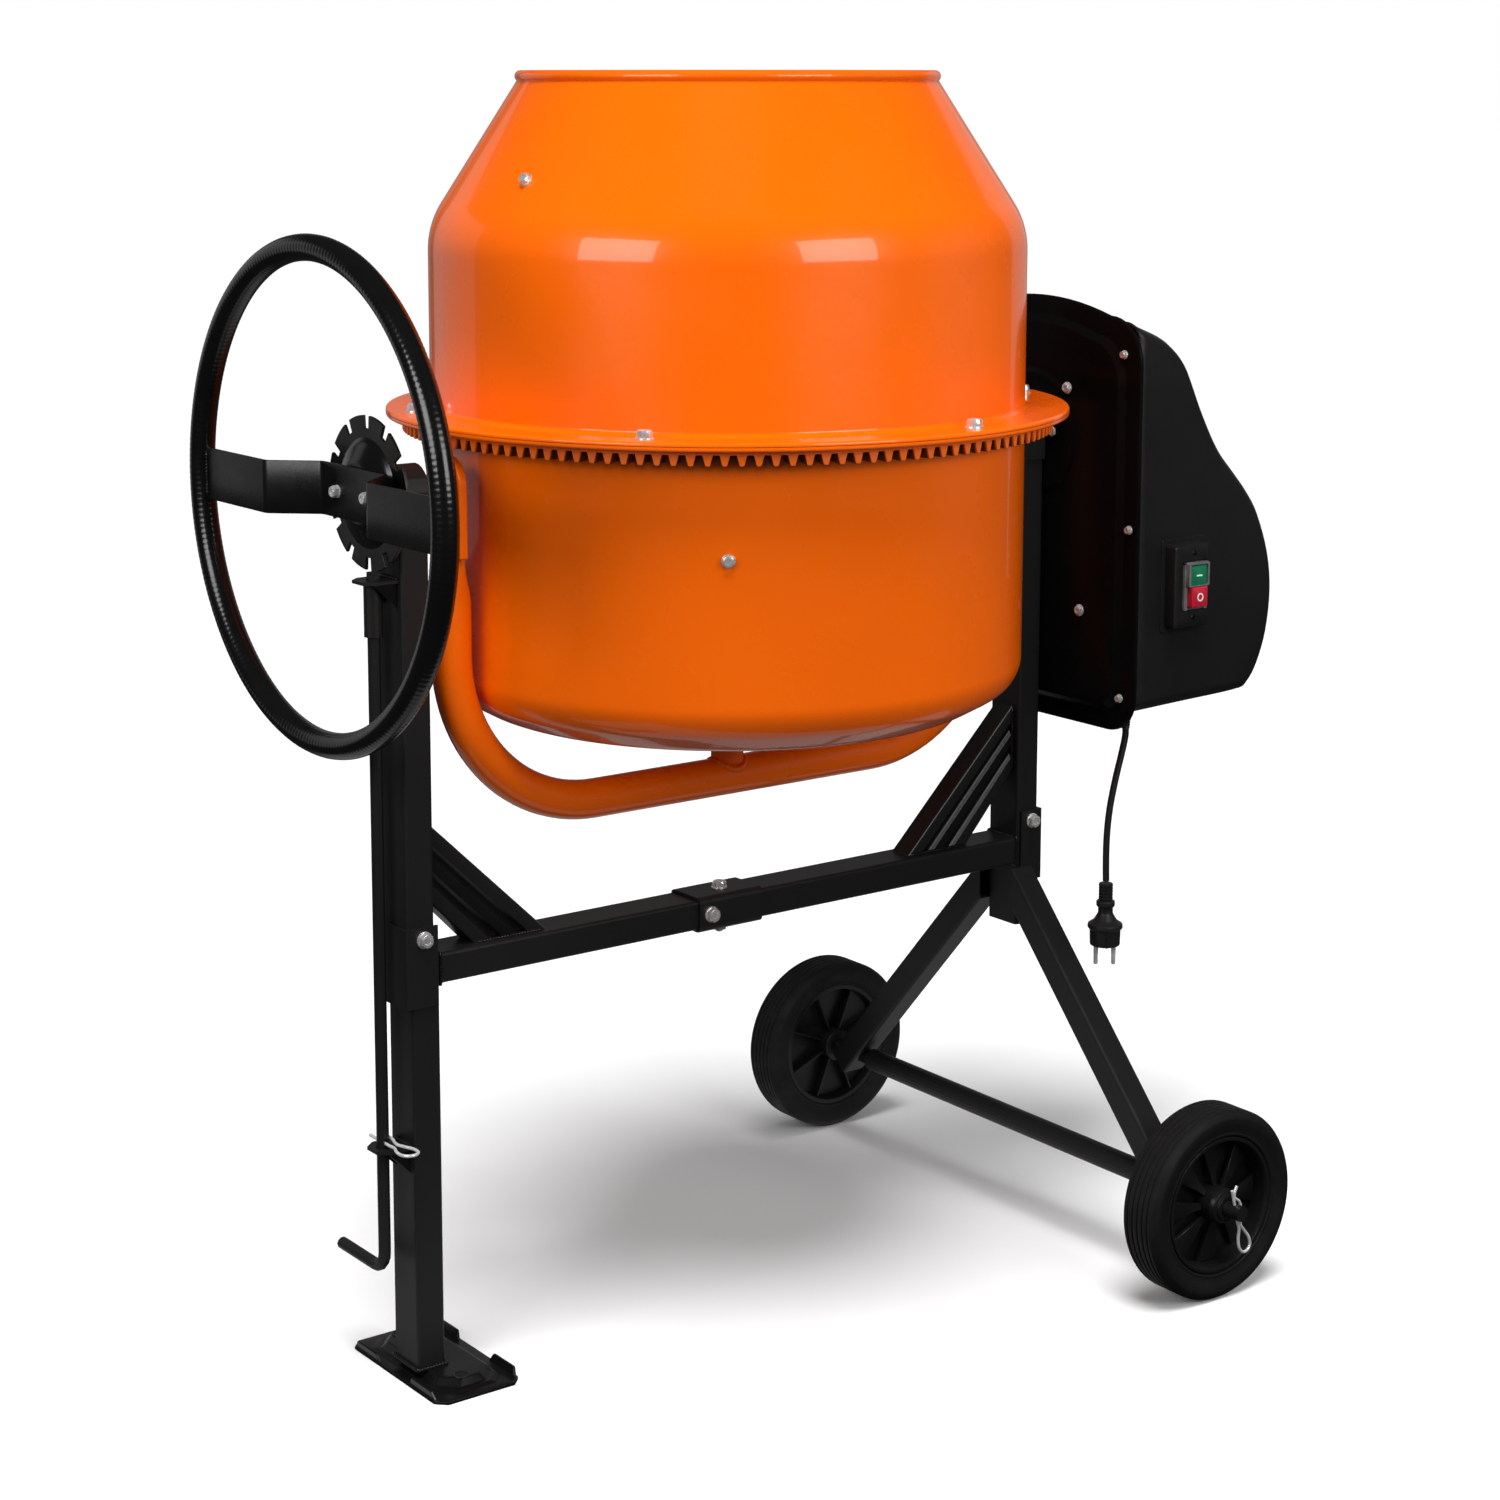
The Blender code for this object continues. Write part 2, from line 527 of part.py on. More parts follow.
def shafts(tilt, drive):
    left_end, right_end = DISC_X + DISC_THICK / 2 + GAP, YOKE_LEFT_X + 0.010
    cylinder("tilt_shaft", SHAFT_R, right_end - left_end, STEEL, tilt,
             ((left_end + right_end) / 2, 0, 0), ALONG_X)
    start, end = YOKE_RIGHT_X - YOKE_R + 0.0015, PANEL_X - GAP
    loops = [circle(HUB_R, 20), circle(HUB_BORE, 16)]
    outline("yoke_hub", loops, end - start, STEEL, tilt, ((start + end) / 2, 0, 0), ALONG_X)
    low = YOKE_LOW + YOKE_R - 0.002 + GAP - TILT_Z
    spindle = [(0, 0.095), (0.0095, 0.095), (0.0110, 0.093), (0.0110, 0.030), (0.0145, 0.026),
               (0.0145, 0), (0, 0)]
    smooth(turned("drum_spindle", spindle, STEEL, tilt, (0, 0, low), steps=20))
    first, last = 0.3005, PULLEY_X + 0.014
    cylinder("drive_shaft", DRIVE_R, last - first, STEEL, drive, ((first + last) / 2, 0, 0), ALONG_X, 16)


def handwheel(tilt):
    steps = 48
    ring = [(x, y, 0) for x, y in circle(HANDWHEEL_R, steps)]
    tube("handwheel_rim", ring, GRIP_R, BLACK, tilt, (HANDWHEEL_X, 0, 0), ALONG_X, 2, True)
    end, knee_out, knee_in = HANDWHEEL_R - GRIP_R - 0.0024, 0.095, 0.059
    half = STRAP_THICK / 2
    run = [(HANDWHEEL_X, end), (HANDWHEEL_X, knee_out), (STRAP_FLAT_X, knee_in)]
    centre = run + [(x, -y) for x, y in run[::-1]]
    lean = 0.4 * half
    outer = [(x - half, y - math.copysign(lean, y)) for x, y in centre]
    inner = [(x + half, y + math.copysign(lean, y)) for x, y in centre]
    outer[0], outer[-1] = (HANDWHEEL_X - half, end), (HANDWHEEL_X - half, -end)
    inner[0], inner[-1] = (HANDWHEEL_X + half, end), (HANDWHEEL_X + half, -end)
    strap = as_mesh(outline("handwheel_strap", [outer + inner[::-1]], STRAP_TALL, BLACK, tilt))
    return strap


def index_disc(tilt):
    """A notched disc with a domed middle; a notch every 30 degrees takes the lock rod."""
    half = math.degrees(NOTCH_HALF / DISC_R)
    edge = []
    for k in range(NOTCHES):
        middle = 360 * k / NOTCHES
        spread = math.degrees(NOTCH_HALF / NOTCH_FLOOR)
        edge += arc((0, 0), NOTCH_FLOOR, middle - spread, middle + spread, 1)
        edge += arc((0, 0), DISC_R, middle + half, middle + 360 / NOTCHES - half, 3)
    disc = as_mesh(outline("index_disc", [edge], DISC_THICK, BLACK, tilt, (DISC_X, 0, 0), ALONG_X))
    rise = DISC_X - STRAP_FLAT_X - STRAP_THICK / 2 - GAP
    profile = [(0, 0), (0.051, 0), (0.051, -0.001), (0.047, -rise * 0.65), (0.040, -rise), (0, -rise)]
    dome = as_mesh(turned("disc_dome", profile, BLACK, tilt, (DISC_X, 0, 0), ALONG_X, 28))
    return smooth(combine(disc, dome, "UNION"), 30)


# Drum

def lower_drum(drum):
    lip = FLANGE_LOW + 0.0038
    bend = [(WALL_R - 0.002, 0.650), (WALL_R - 0.009, 0.637), (WALL_R - 0.023, 0.628), (CORNER_R, CORNER_Z)]
    outer = [(FLANGE_R, lip), (FLANGE_R, FLANGE_LOW), (WALL_R, FLANGE_LOW), (WALL_R, FLOOR_EDGE_Z), *bend,
             (0.130, 0.598), (0.0165, FLOOR_MID_Z)]
    inner = [(r - SHEET, z + 0.0004) for r, z in outer[3:-2]]
    inner = [(WALL_R - SHEET, lip), *inner]
    inner = [(r, z + SHEET * (1 if z < FLOOR_EDGE_Z else 0)) for r, z in inner]
    floor = [(0.130, 0.598 + SHEET), (0.0165, FLOOR_MID_Z + SHEET)]
    profile = outer + floor[::-1] + inner[::-1]
    profile = [(r, z - TILT_Z) for r, z in profile]
    return smooth(turned("lower_drum", profile, ORANGE, drum, steps=DRUM_STEPS, loop=True), 40)


def upper_drum(drum):
    low = FLANGE_LOW + 0.0038 + GAP
    bead = arc((MOUTH_R, RIM_Z), BEAD_R, 90, -60, 4)
    back = arc((MOUTH_R, RIM_Z), BEAD_R, 240, 120, 3)
    skin = SHEET * 0.9
    outer = [*bead, (WALL_R - 0.010, SHOULDER_Z + 0.016), (WALL_R - 0.002, SHOULDER_Z + 0.001),
             (WALL_R, SHOULDER_Z - 0.012), (WALL_R, FLANGE_TOP), (FLANGE_R, FLANGE_TOP), (FLANGE_R, low)]
    inner = [(WALL_R - skin, low), (WALL_R - skin, SHOULDER_Z - 0.012), (WALL_R - 0.002 - skin, SHOULDER_Z),
             (WALL_R - 0.010 - skin, SHOULDER_Z + 0.0145), *back]
    profile = [(r, z - TILT_Z) for r, z in outer + inner]
    return smooth(turned("upper_drum", profile, ORANGE, drum, steps=DRUM_STEPS, loop=True), 40)


def drum_hub(drum):
    """The bearing boss in the drum's floor, which turns on the spindle."""
    bore, top = 0.0122, 0.665
    profile = [(0, top), (0.024, top), (0.028, top - 0.005), (0.028, 0.602), (0.050, 0.599), (0.050, 0.5925),
               (0.0158, 0.5895), (0.0158, 0.587), (bore, 0.587), (bore, top - 0.006), (0, top - 0.006)]
    return smooth(turned("drum_hub", [(r, z - TILT_Z) for r, z in profile], IRON, drum, steps=20))


def ring_gear(drum):
    """A crown gear under the flange, its teeth pointing down, with a gap centred on +X."""
    pitch = 2 * math.pi / GEAR_TEETH
    shares = ((0.17, GEAR_ROOT), (0.35, GEAR_TIP), (0.65, GEAR_TIP), (0.83, GEAR_ROOT))

    def teeth(bm):
        tops, lows = [], []
        for k in range(GEAR_TEETH):
            for share, low in shares:
                a = pitch * (k + share)
                way = Vector((math.cos(a), math.sin(a), 0))
                spots = [way * r for r in (GEAR_OUTER, GEAR_INNER)]
                lows.append([bm.verts.new(p + Vector((0, 0, low - TILT_Z))) for p in spots])
                if share == shares[0][0]:
                    tops.append([bm.verts.new(p + Vector((0, 0, GEAR_TOP - TILT_Z))) for p in spots])
        per = len(shares)
        for k, top in enumerate(tops):
            after = tops[(k + 1) % GEAR_TEETH]
            edge = [lows[(per * k + j) % len(lows)] for j in range(per + 1)]
            bm.faces.new((top[1], top[0], after[0], after[1]))
            bm.faces.new([top[0], *[low[0] for low in edge], after[0]])
            bm.faces.new([top[1], *[low[1] for low in edge], after[1]][::-1])
            for low, next_low in zip(edge, edge[1:]):
                bm.faces.new((low[0], low[1], next_low[1], next_low[0]))
        bmesh.ops.recalc_face_normals(bm, faces=bm.faces)

    return add("ring_gear", mesh_from(teeth, "ring_gear"), ORANGE, drum)


def blade(name, drum, turn):
    """A twisted mixing blade that stands off the wall from low on the wall up to the cone."""
    stations, wide, thick, stand_off = 9, 0.055, 0.003, 0.006
    start, end = (233.8, 0.790), (189.0, 1.160)

    def wall(z):
        slope = (WALL_R - MOUTH_R) / (RIM_Z - SHOULDER_Z)
        return WALL_R - SHEET - max(0.0, z - SHOULDER_Z + 0.012) * slope

    def sweep(bm):
        rings = []
        for i in range(stations):
            t = i / (stations - 1)
            a = math.radians(start[0] + (end[0] - start[0]) * t + turn)
            z = start[1] + (end[1] - start[1]) * t
            out, across = Vector((math.cos(a), math.sin(a), 0)), Vector((-math.sin(a), math.cos(a), 0))
            edge = wall(z) - stand_off
            width = wide * (0.55 + 0.45 * math.sin(math.pi * t))
            lift = Vector((0, 0, z - TILT_Z))
            rings.append([bm.verts.new(out * r + across * s + lift) for r, s in (
                (edge, thick / 2), (edge - width, thick / 2),
                (edge - width, -thick / 2), (edge, -thick / 2))])
        for ring, after in zip(rings, rings[1:]):
            for j in range(4):
                bm.faces.new((ring[j], after[j], after[(j + 1) % 4], ring[(j + 1) % 4]))
        bm.faces.new(rings[0])
        bm.faces.new(rings[-1][::-1])
        bmesh.ops.recalc_face_normals(bm, faces=bm.faces)

    return add(name, mesh_from(sweep, name), ORANGE, drum)


# Drive

def pinion(drive):
    """The pinion under the ring gear; one tooth points straight up into its gap."""
    pitch_r = PINION_TEETH * (GEAR_INNER + GEAR_OUTER) / 2 / GEAR_TEETH
    root, tip = pitch_r - 0.0062, GEAR_ROOT - 0.0008 - TILT_Z
    step = 360 / PINION_TEETH
    edge = []
    for k in range(PINION_TEETH):
        middle = 90 + step * k
        edge += arc((0, 0), tip, middle - 2.2, middle + 2.2, 1)
        edge += arc((0, 0), root, middle + 6.0, middle + step - 6.0, 1)
    loops = [edge, circle(DRIVE_R + GAP, 16)]
    return outline("drive_pinion", loops, 0.0185, STEEL, drive, (0.3103, 0, 0), ALONG_X)


def pulley(name, axis, radius, bore):
    half, depth = PULLEY_WIDE / 2, 0.005
    boss = [(bore, half + 0.003), (bore + 0.006, half + 0.003), (bore + 0.006, half - 0.003)]
    hub = boss if radius > 0.05 else [
        (bore, half)]
    rim = [(radius - 0.002, half), (radius, half - 0.001), (radius - depth, half - 0.005)]
    if radius > 0.05:
        hub.append((radius - 0.014, half - 0.003))
        hub.append((radius - 0.012, half))
    back = [(r, -z) for r, z in rim[::-1]]
    steps = 28 if radius > 0.05 else 16
    section = [*hub, *rim, *back, (bore, -half)]
    return smooth(turned(name, section, ALUMINIUM, axis, rotation=ALONG_X, steps=steps, loop=True), 30)


def drive_belt(tilt):
    """A belt round both pulleys, lying in their grooves."""
    drop = MOTOR_Z - TILT_Z
    big, small = PULLEY_R - 0.005 + 0.0008, MOTOR_PULLEY_R - 0.005 + 0.0008
    lean = math.degrees(math.asin((big - small) / -drop))

    def loop(extra):
        top = arc((0, 0), big + extra, -lean, 180 + lean, 16)
        return top + arc((0, drop), small + extra, 180 + lean, 360 - lean, 6)

    return outline("drive_belt", [loop(0.0032), loop(0)], 0.0075, RUBBER, tilt, (PULLEY_X, 0, 0), ALONG_X)


def motor(tilt):
    shaft_r, face = 0.006, PULLEY_X + 0.017
    profile = [(0, 0.128), (0.040, 0.128), (MOTOR_R - 0.004, 0.120), (MOTOR_R, 0.112), (MOTOR_R, 0.012),
               (MOTOR_R - 0.006, 0.004), (0.030, 0.0), (0, 0.0)]
    place = (face, 0, MOTOR_Z - TILT_Z)
    return smooth(turned("motor", profile, ALUMINIUM, tilt, place, ALONG_X, 28))


def motor_bracket(tilt):
    """A bent plate that holds the motor off the panel, open round the belt."""
    base, end = PANEL_BACK + GAP, PULLEY_X + 0.017 - GAP
    half, sheet, tall = 0.080, 0.003, 0.100
    points = [(base, -half), (end, -half), (end, half), (base, half), (base, half - sheet),
              (end - sheet, half - sheet), (end - sheet, -half + sheet), (base, -half + sheet)]
    place = (0, 0, MOTOR_Z - TILT_Z)
    bracket = as_mesh(outline("motor_bracket", [points], tall, BLACK, tilt, place))
    return drill(bracket, 0.016, 0.02, tilt, (end, 0, MOTOR_Z - TILT_Z), ALONG_X)


# Motor housing

def panel_outline(inset):
    """Half-symmetric outline of the panel in (y, z): crowned top, round corners."""
    half, low, corner = PANEL_HALF - inset, PANEL_LOW + inset, 0.040 - inset * 0.5
    crown, shoulder, top_corner = 0.016, 0.108, 0.049
    top = PANEL_HIGH - inset
    right = arc((half - corner, low + corner), corner, 270, 360, 5)
    ratio = half - shoulder * half / PANEL_HALF
    right += [(half - ratio + ratio * math.cos(a), top - crown - top_corner + top_corner * math.sin(a))
              for a in (math.radians(15 * i) for i in range(6))]
    right += [(shoulder * s, top - crown * s * s) for s in (0.85, 0.6, 0.3)]
    right = [(y, z - TILT_Z) for y, z in right]
    return right + [(0.0, top - TILT_Z)] + [(-y, z) for y, z in right[::-1]]


def housing_panel(tilt):
    """The pressed back panel: a flat border, then a step up to the middle."""
    layers = ((0.0, PANEL_BACK), (0.0, PANEL_BACK - 0.003), (0.002, PANEL_BACK - 0.004),
              (0.021, PANEL_BACK - 0.004), (0.030, PANEL_X))

    def press(bm):
        rings = [[bm.verts.new((x, y, z)) for y, z in panel_outline(inset)] for inset, x in layers]
        for ring, after in zip(rings, rings[1:]):
            for j in range(len(ring)):
                k = (j + 1) % len(ring)
                bm.faces.new((ring[j], ring[k], after[k], after[j]))
        bm.faces.new(rings[0])
        bm.faces.new(rings[-1][::-1])
        bmesh.ops.recalc_face_normals(bm, faces=bm.faces)
        bmesh.ops.triangulate(bm, faces=[f for f in bm.faces if len(f.verts) > 4])

    panel = add("housing_panel", mesh_from(press, "housing_panel"), BLACK, tilt)
    drill(panel, DRIVE_R + 0.002, 0.05, tilt, (PANEL_X, 0, 0), ALONG_X)
    return smooth(panel, 25)


def cover_profile():
    """The cover's side profile in (x, z), from its top edge round to its bottom edge."""
    keys = ((0.4150, 0.988), (0.455, 0.973), (0.474, 0.961), (0.4865, 0.949), (0.496, 0.934), (0.518, 0.893),
            (0.546, 0.850), (0.572, 0.822), (0.592, 0.800), (0.611, 0.772), (0.628, 0.726), (0.633, 0.682),
            (0.627, 0.637), (0.614, 0.603), (0.599, 0.583), (0.582, 0.578), (0.500, 0.5750), (0.4150, 0.572))
    return [(x, z - TILT_Z) for x, z in keys]


def housing_cover(tilt):
    """The moulded cover: its profile drawn in at the sides, as an open shell."""
    line = [Vector(p) for p in cover_profile()]
    normals = []
    for i, point in enumerate(line):
        way = (line[min(i + 1, len(line) - 1)] - line[max(i - 1, 0)]).normalized()
        normals.append(Vector((way.y, -way.x)))
    normals[0], normals[-1] = Vector((0, -1)), Vector((0, 1))
    edge = 0.020
    angles = [math.radians(22.5 * i) for i in range(5)]
    bands = [(COVER_HALF - edge + edge * math.sin(a), edge * (1 - math.cos(a))) for a in angles]
    stations = [(-y, inset) for y, inset in bands[::-1]] + bands

    def shell(bm):
        rings = []
        for y, inset in stations:
            ring = []
            for point, normal in zip(line, normals):
                spot = point + normal * inset * 0.8
                ring.append(bm.verts.new((max(spot.x, line[0].x), y, spot.y)))
            rings.append(ring)
        for ring, after in zip(rings, rings[1:]):
            for j in range(len(ring) - 1):
                bm.faces.new((ring[j], ring[j + 1], after[j + 1], after[j]))
        half = len(line) // 2
        for ring in (rings[0], rings[-1]):
            for j in range(half - 1):
                bm.faces.new((ring[j], ring[j + 1], ring[-2 - j], ring[-1 - j]))
        bmesh.ops.recalc_face_normals(bm, faces=bm.faces)

    cover = add("housing_cover", mesh_from(shell, "housing_cover"), PLASTIC, tilt)
    wall = cover.modifiers.new("wall", "SOLIDIFY")
    wall.thickness = COVER_WALL
    wall.offset = -1.0
    wall.use_quality_normals = True
    reach = 0.05
    trim = block("cover_trim", (reach, 0.5, 0.6), PLASTIC, tilt, (PANEL_BACK + GAP - reach / 2, 0, -0.08))
    combine(cover, trim, "DIFFERENCE")
    return smooth(cover, 40)


def switch(tilt):
    """The switch box on the cover's front side, and its two push buttons on their axes."""
    wide, tall = 0.051, 0.089
    base = -(COVER_HALF + GAP)
    thick = base - SWITCH_FACE
    middle = (SWITCH_X, (base + SWITCH_FACE) / 2, SWITCH_Z - TILT_Z)
    plate = as_mesh(outline("switch_box", [rounded_box(wide / 2, tall / 2, 0.003, 2)], thick, PLASTIC, tilt,
                            middle, ALONG_Y))
    place = (SWITCH_X + 0.004, SWITCH_FACE, middle[2])
    pocket = block("switch_pocket", (0.034, 0.024, 0.052), PLASTIC, tilt, place)
    combine(plate, pocket, "DIFFERENCE")
    inner_x, inner_z = 0.0119, 0.0112
    loops = [rounded_box(0.0167, 0.0257, 0.001, 1)]
    for side in (1, -1):
        loops.append([(x, z + side * BUTTON_PITCH / 2) for x, z in rounded_box(inner_x, inner_z, 0.0005, 1)])
    spot = (SWITCH_X + 0.004, SWITCH_FACE + 0.0035, middle[2])
    outline("switch_frame", loops, 0.012, GREY, tilt, spot, ALONG_Y)
    for name, side, look in (("on_button", 1, GREEN), ("off_button", -1, RED)):
        place = (SWITCH_X + 0.004, SWITCH_FACE, middle[2] + side * BUTTON_PITCH / 2)
        axis = empty(f"{name}_axis", tilt, place)
        size = (2 * (inner_x - GAP), 0.010, 2 * (inner_z - GAP))
        block(name, size, look, axis, (0, -0.0015 if side > 0 else -0.0035, 0), bevel=0.0008)


def cord_gland(tilt):
    top = GLAND_TOP - TILT_Z
    profile = [(0.0033, 0.0), (0.0095, 0.0), (0.0095, -0.004), (0.0058, -0.006),
               (0.0043, -GLAND_LONG), (0.0033, -GLAND_LONG)]
    x, y, _ = CORD_ROUTE[0]
    return smooth(turned("cord_gland", profile, PLASTIC, tilt, (x, y, top), steps=14, loop=True))


def smooth_route(points, samples):
    """Points on a smooth curve through the route's own points."""
    line = [Vector(p) for p in points]
    padded = [line[0] * 2 - line[1], *line, line[-1] * 2 - line[-2]]
    route = []
    for a, b, c, d in zip(padded, padded[1:], padded[2:], padded[3:]):
        for i in range(samples):
            t = i / samples
            route.append(0.5 * (2 * b + (c - a) * t + (2 * a - 5 * b + 4 * c - d) * t ** 2
                                + (3 * b - a - 3 * c + d) * t ** 3))
    return [*route, line[-1]]


def mains_lead(tilt):
    down = Vector((0, 0, -TILT_Z))
    route = [p + down for p in smooth_route(CORD_ROUTE, CORD_SAMPLES)]
    tube("power_cord", route, CORD_R, PLASTIC, tilt, sides=2)
    x, y, _ = CORD_ROUTE[-1]
    low = PLUG_TOP - GAP - TILT_Z
    body = [(0, 0.0), (0.0045, 0.0), (0.0060, -0.022), (0.0090, -0.026), (0.0130, -0.036), (0.0185, -0.043),
            (0.0195, -0.049), (0.0185, -0.055), (0.0170, -0.060), (0.0170, -0.072), (0, -0.072)]
    plug = as_mesh(turned("mains_plug", body, PLASTIC, tilt, (x, y, low), steps=20))
    across = Vector((0.7986, -0.6018, 0)) * 0.0095
    for side in (1, -1):
        spot = Vector((x, y, low - 0.081)) + across * side
        prong = cylinder("plug_prong", 0.0024, 0.022, STEEL, tilt, spot, sides=10)
        combine(plug, prong, "UNION")
    return smooth(plug)


def build():
    root = empty("mixer", None, (DRUM_X, 0, 0))
    tilt = empty("tilt_axis", root, (0, 0, TILT_Z))
    drum = empty("drum_axis", tilt, (0, 0, 0))
    drive = empty("drive_axis", tilt, (0, 0, 0))
    motor_axis = empty("motor_axis", tilt, (PULLEY_X, 0, MOTOR_Z - TILT_Z))
    rod_axis = empty("rod_axis", root, (ROD_X, 0, 0))

    foot_plate(root)
    leg = upright("left_leg", LEG_X, FOOT_STEP + GAP, LEG_TOP, root)
    left = upright("left_post", POST_LEFT_X, LEG_TOP + GAP, POST_TOP, root)
    right = upright("right_post", POST_RIGHT_X, RIGHT_POST_BOTTOM, POST_TOP, root)
    left_bolt_x, right_bolt_x = POST_LEFT_X + 0.002, POST_RIGHT_X + 0.0045
    for post, x in ((left, left_bolt_x), (right, right_bolt_x)):
        drill(post, BOLT_R + GAP, 0.08, root, (x, 0, CHANNEL_BOLT_Z), ALONG_Y)
    web = TUBE_X / 2 + GAP + SHEET
    channel("left_channel", root, POST_LEFT_X - web, LEG_X + TUBE_X / 2 - 0.003, (left_bolt_x,))
    channel("right_channel", root, POST_RIGHT_X + web, POST_RIGHT_X - 0.011, (right_bolt_x,))
    face = TUBE_Y / 2 + GAP + SHEET + GAP
    for name, x in (("left_channel_bolt", left_bolt_x), ("right_channel_bolt", right_bolt_x)):
        bolt(name, root, (x, -face, CHANNEL_BOLT_Z), ALONG_Y, 2 * face + 0.004)
    crossbar(root)
    brace("left_brace", root, POST_LEFT_X + TUBE_X / 2 + GAP, 1, 0.125, 0.131)
    brace("right_brace", root, POST_RIGHT_X - TUBE_X / 2 - GAP, -1, 0.146, 0.146)
    bearing("left_bearing", root, POST_LEFT_X, SHAFT_R + 0.001)
    bearing("right_bearing", root, POST_RIGHT_X, HUB_R + 0.001)
    wheel_leg("front_wheel_leg", root, -1)
    wheel_leg("rear_wheel_leg", root, 1)
    axle(root)
    for name, side in (("front", -1), ("rear", 1)):
        turn = (side * -math.pi / 2, 0, 0)
        wheel(f"{name}_wheel", empty(f"{name}_wheel_axis", root, (AXLE_X, side * WHEEL_Y, WHEEL_R), turn))
        spring_clip(f"{name}_axle_clip", root, (AXLE_X, side * CLIP_Y, WHEEL_R),
                    (math.pi / 2, math.radians(90), 0), AXLE_R)
    rod_guides(root, rod_axis)
    lock_rod(rod_axis)
    spring_clip("lock_rod_clip", rod_axis, (0, 0, LOW_TAB_Z + 0.0075), (0, 0, math.radians(90)), ROD_R)

    yoke(tilt)
    shafts(tilt, drive)
    handwheel(tilt)
    index_disc(tilt)
    lower_drum(drum)
    upper_drum(drum)
    drum_hub(drum)
    ring_gear(drum)
    for name, turn in (("mixing_blade_1", 0), ("mixing_blade_2", 180)):
        blade(name, drum, turn)
    pinion(drive)
    large_axis = empty("large_pulley_axis", drive, (PULLEY_X, 0, 0))
    pulley("large_pulley", large_axis, PULLEY_R, DRIVE_R + GAP)
    pulley("motor_pulley", motor_axis, MOTOR_PULLEY_R, 0.003)
    drive_belt(tilt)
    motor(tilt)
    motor_bracket(tilt)
    housing_panel(tilt)
    housing_cover(tilt)
    switch(tilt)
    cord_gland(tilt)
    mains_lead(tilt)


build()
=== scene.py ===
"""Looks for the concrete mixer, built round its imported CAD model.

Metres, +Z up, in the row frame. Places given to at() and distances named ..._X are counted
from the drum's axis. Sizes are the CAD part's own, so that every detailed piece lies where
the CAD node that it stands for lies.
"""
import json
from math import atan2, cos, degrees, pi, radians, sin, sqrt, tan

import bmesh
import bpy
from mathutils import Matrix, Vector


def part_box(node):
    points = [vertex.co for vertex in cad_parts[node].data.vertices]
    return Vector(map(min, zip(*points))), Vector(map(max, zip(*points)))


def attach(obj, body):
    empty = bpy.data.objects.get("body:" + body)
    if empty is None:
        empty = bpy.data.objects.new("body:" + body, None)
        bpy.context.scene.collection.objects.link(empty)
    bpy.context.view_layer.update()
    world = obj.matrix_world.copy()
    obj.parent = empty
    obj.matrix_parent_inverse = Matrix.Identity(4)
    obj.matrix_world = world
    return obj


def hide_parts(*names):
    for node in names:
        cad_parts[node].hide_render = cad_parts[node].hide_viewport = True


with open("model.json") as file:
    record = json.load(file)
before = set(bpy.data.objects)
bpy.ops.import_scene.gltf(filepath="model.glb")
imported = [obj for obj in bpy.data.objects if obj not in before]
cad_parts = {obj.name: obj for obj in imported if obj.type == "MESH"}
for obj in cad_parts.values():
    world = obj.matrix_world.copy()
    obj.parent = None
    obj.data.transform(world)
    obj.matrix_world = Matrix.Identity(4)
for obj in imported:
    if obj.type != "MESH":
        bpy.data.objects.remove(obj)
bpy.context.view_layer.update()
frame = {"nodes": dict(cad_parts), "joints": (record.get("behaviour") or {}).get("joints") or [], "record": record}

# Places taken from the frame
JOINTS = {joint["name"]: joint for joint in frame["joints"]}
DRUM_X, _, TILT_Z = JOINTS["drum_tilt"]["pos_m"]
AXIS = Vector((DRUM_X, 0, 0))
POST_LEFT_X = sum(p.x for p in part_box("left_post")) / 2 - DRUM_X
POST_RIGHT_X = sum(p.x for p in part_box("right_post")) / 2 - DRUM_X
LEG_X = sum(p.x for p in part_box("left_leg")) / 2 - DRUM_X
BAR_Z = sum(p.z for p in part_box("crossbar_left")) / 2
TUBE_X, TUBE_Y = 0.03, 0.045
GAP, SHEET = 0.0005, 0.0025

# Drum and gear
FLANGE_R = (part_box("upper_drum")[1].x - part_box("upper_drum")[0].x) / 2
WALL_R, MOUTH_R, BEAD_R, FLANGE_BOLT_R = 0.2945, 0.2025, 0.0057, 0.3145
RIM_Z, SHOULDER_Z, SHOULDER_BEND = 1.24, 1.097, 0.085
CONE_LEAN = atan2(WALL_R - MOUTH_R, RIM_Z - SHOULDER_Z)
FLANGE_TOP, FLANGE_MID, FLANGE_LOW = 0.92, 0.9157, 0.9117
FLOOR_EDGE, FLOOR_CORNER_Z, FLOOR_BEND = (0.245, 0.62), 0.648, 0.038
FLOOR_MID_Z, FLOOR_HOLE_R = 0.5855, 0.0165
DRUM_STEPS = 144
GEAR_TEETH, GEAR_INNER, GEAR_OUTER = 132, 0.2965, 0.322
GEAR_TOP, GEAR_ROOT, GEAR_TIP = 0.9112, 0.907, 0.897
BLADE_BOLT_SPOTS = (("low", 233.8, 0.8075), ("high", 189.0, 1.145))     # angle and height

# Tilting frame
YOKE_R, YOKE_BEND = 0.0195, 0.16
YOKE_LEFT_X, YOKE_RIGHT_X, YOKE_LOW, YOKE_TOP = -0.323, 0.343, 0.5395, 0.89
EAR_THICK, EAR_HALF = 0.009, 0.026
HANDWHEEL_X, HANDWHEEL_R, GRIP_R = -0.4635, 0.2265, 0.0125
STRAP_TALL, STRAP_THICK, STRAP_FLAT_X = 0.05, 0.004, -0.4235
DISC_X, DISC_R, DISC_THICK, NOTCHES = -0.409, 0.072, 0.003, 12
NOTCH_HALF, NOTCH_FLOOR = 0.004, 0.06
ROD_X, ROD_R, LOW_TAB_Z = -0.406, 0.006, 0.235

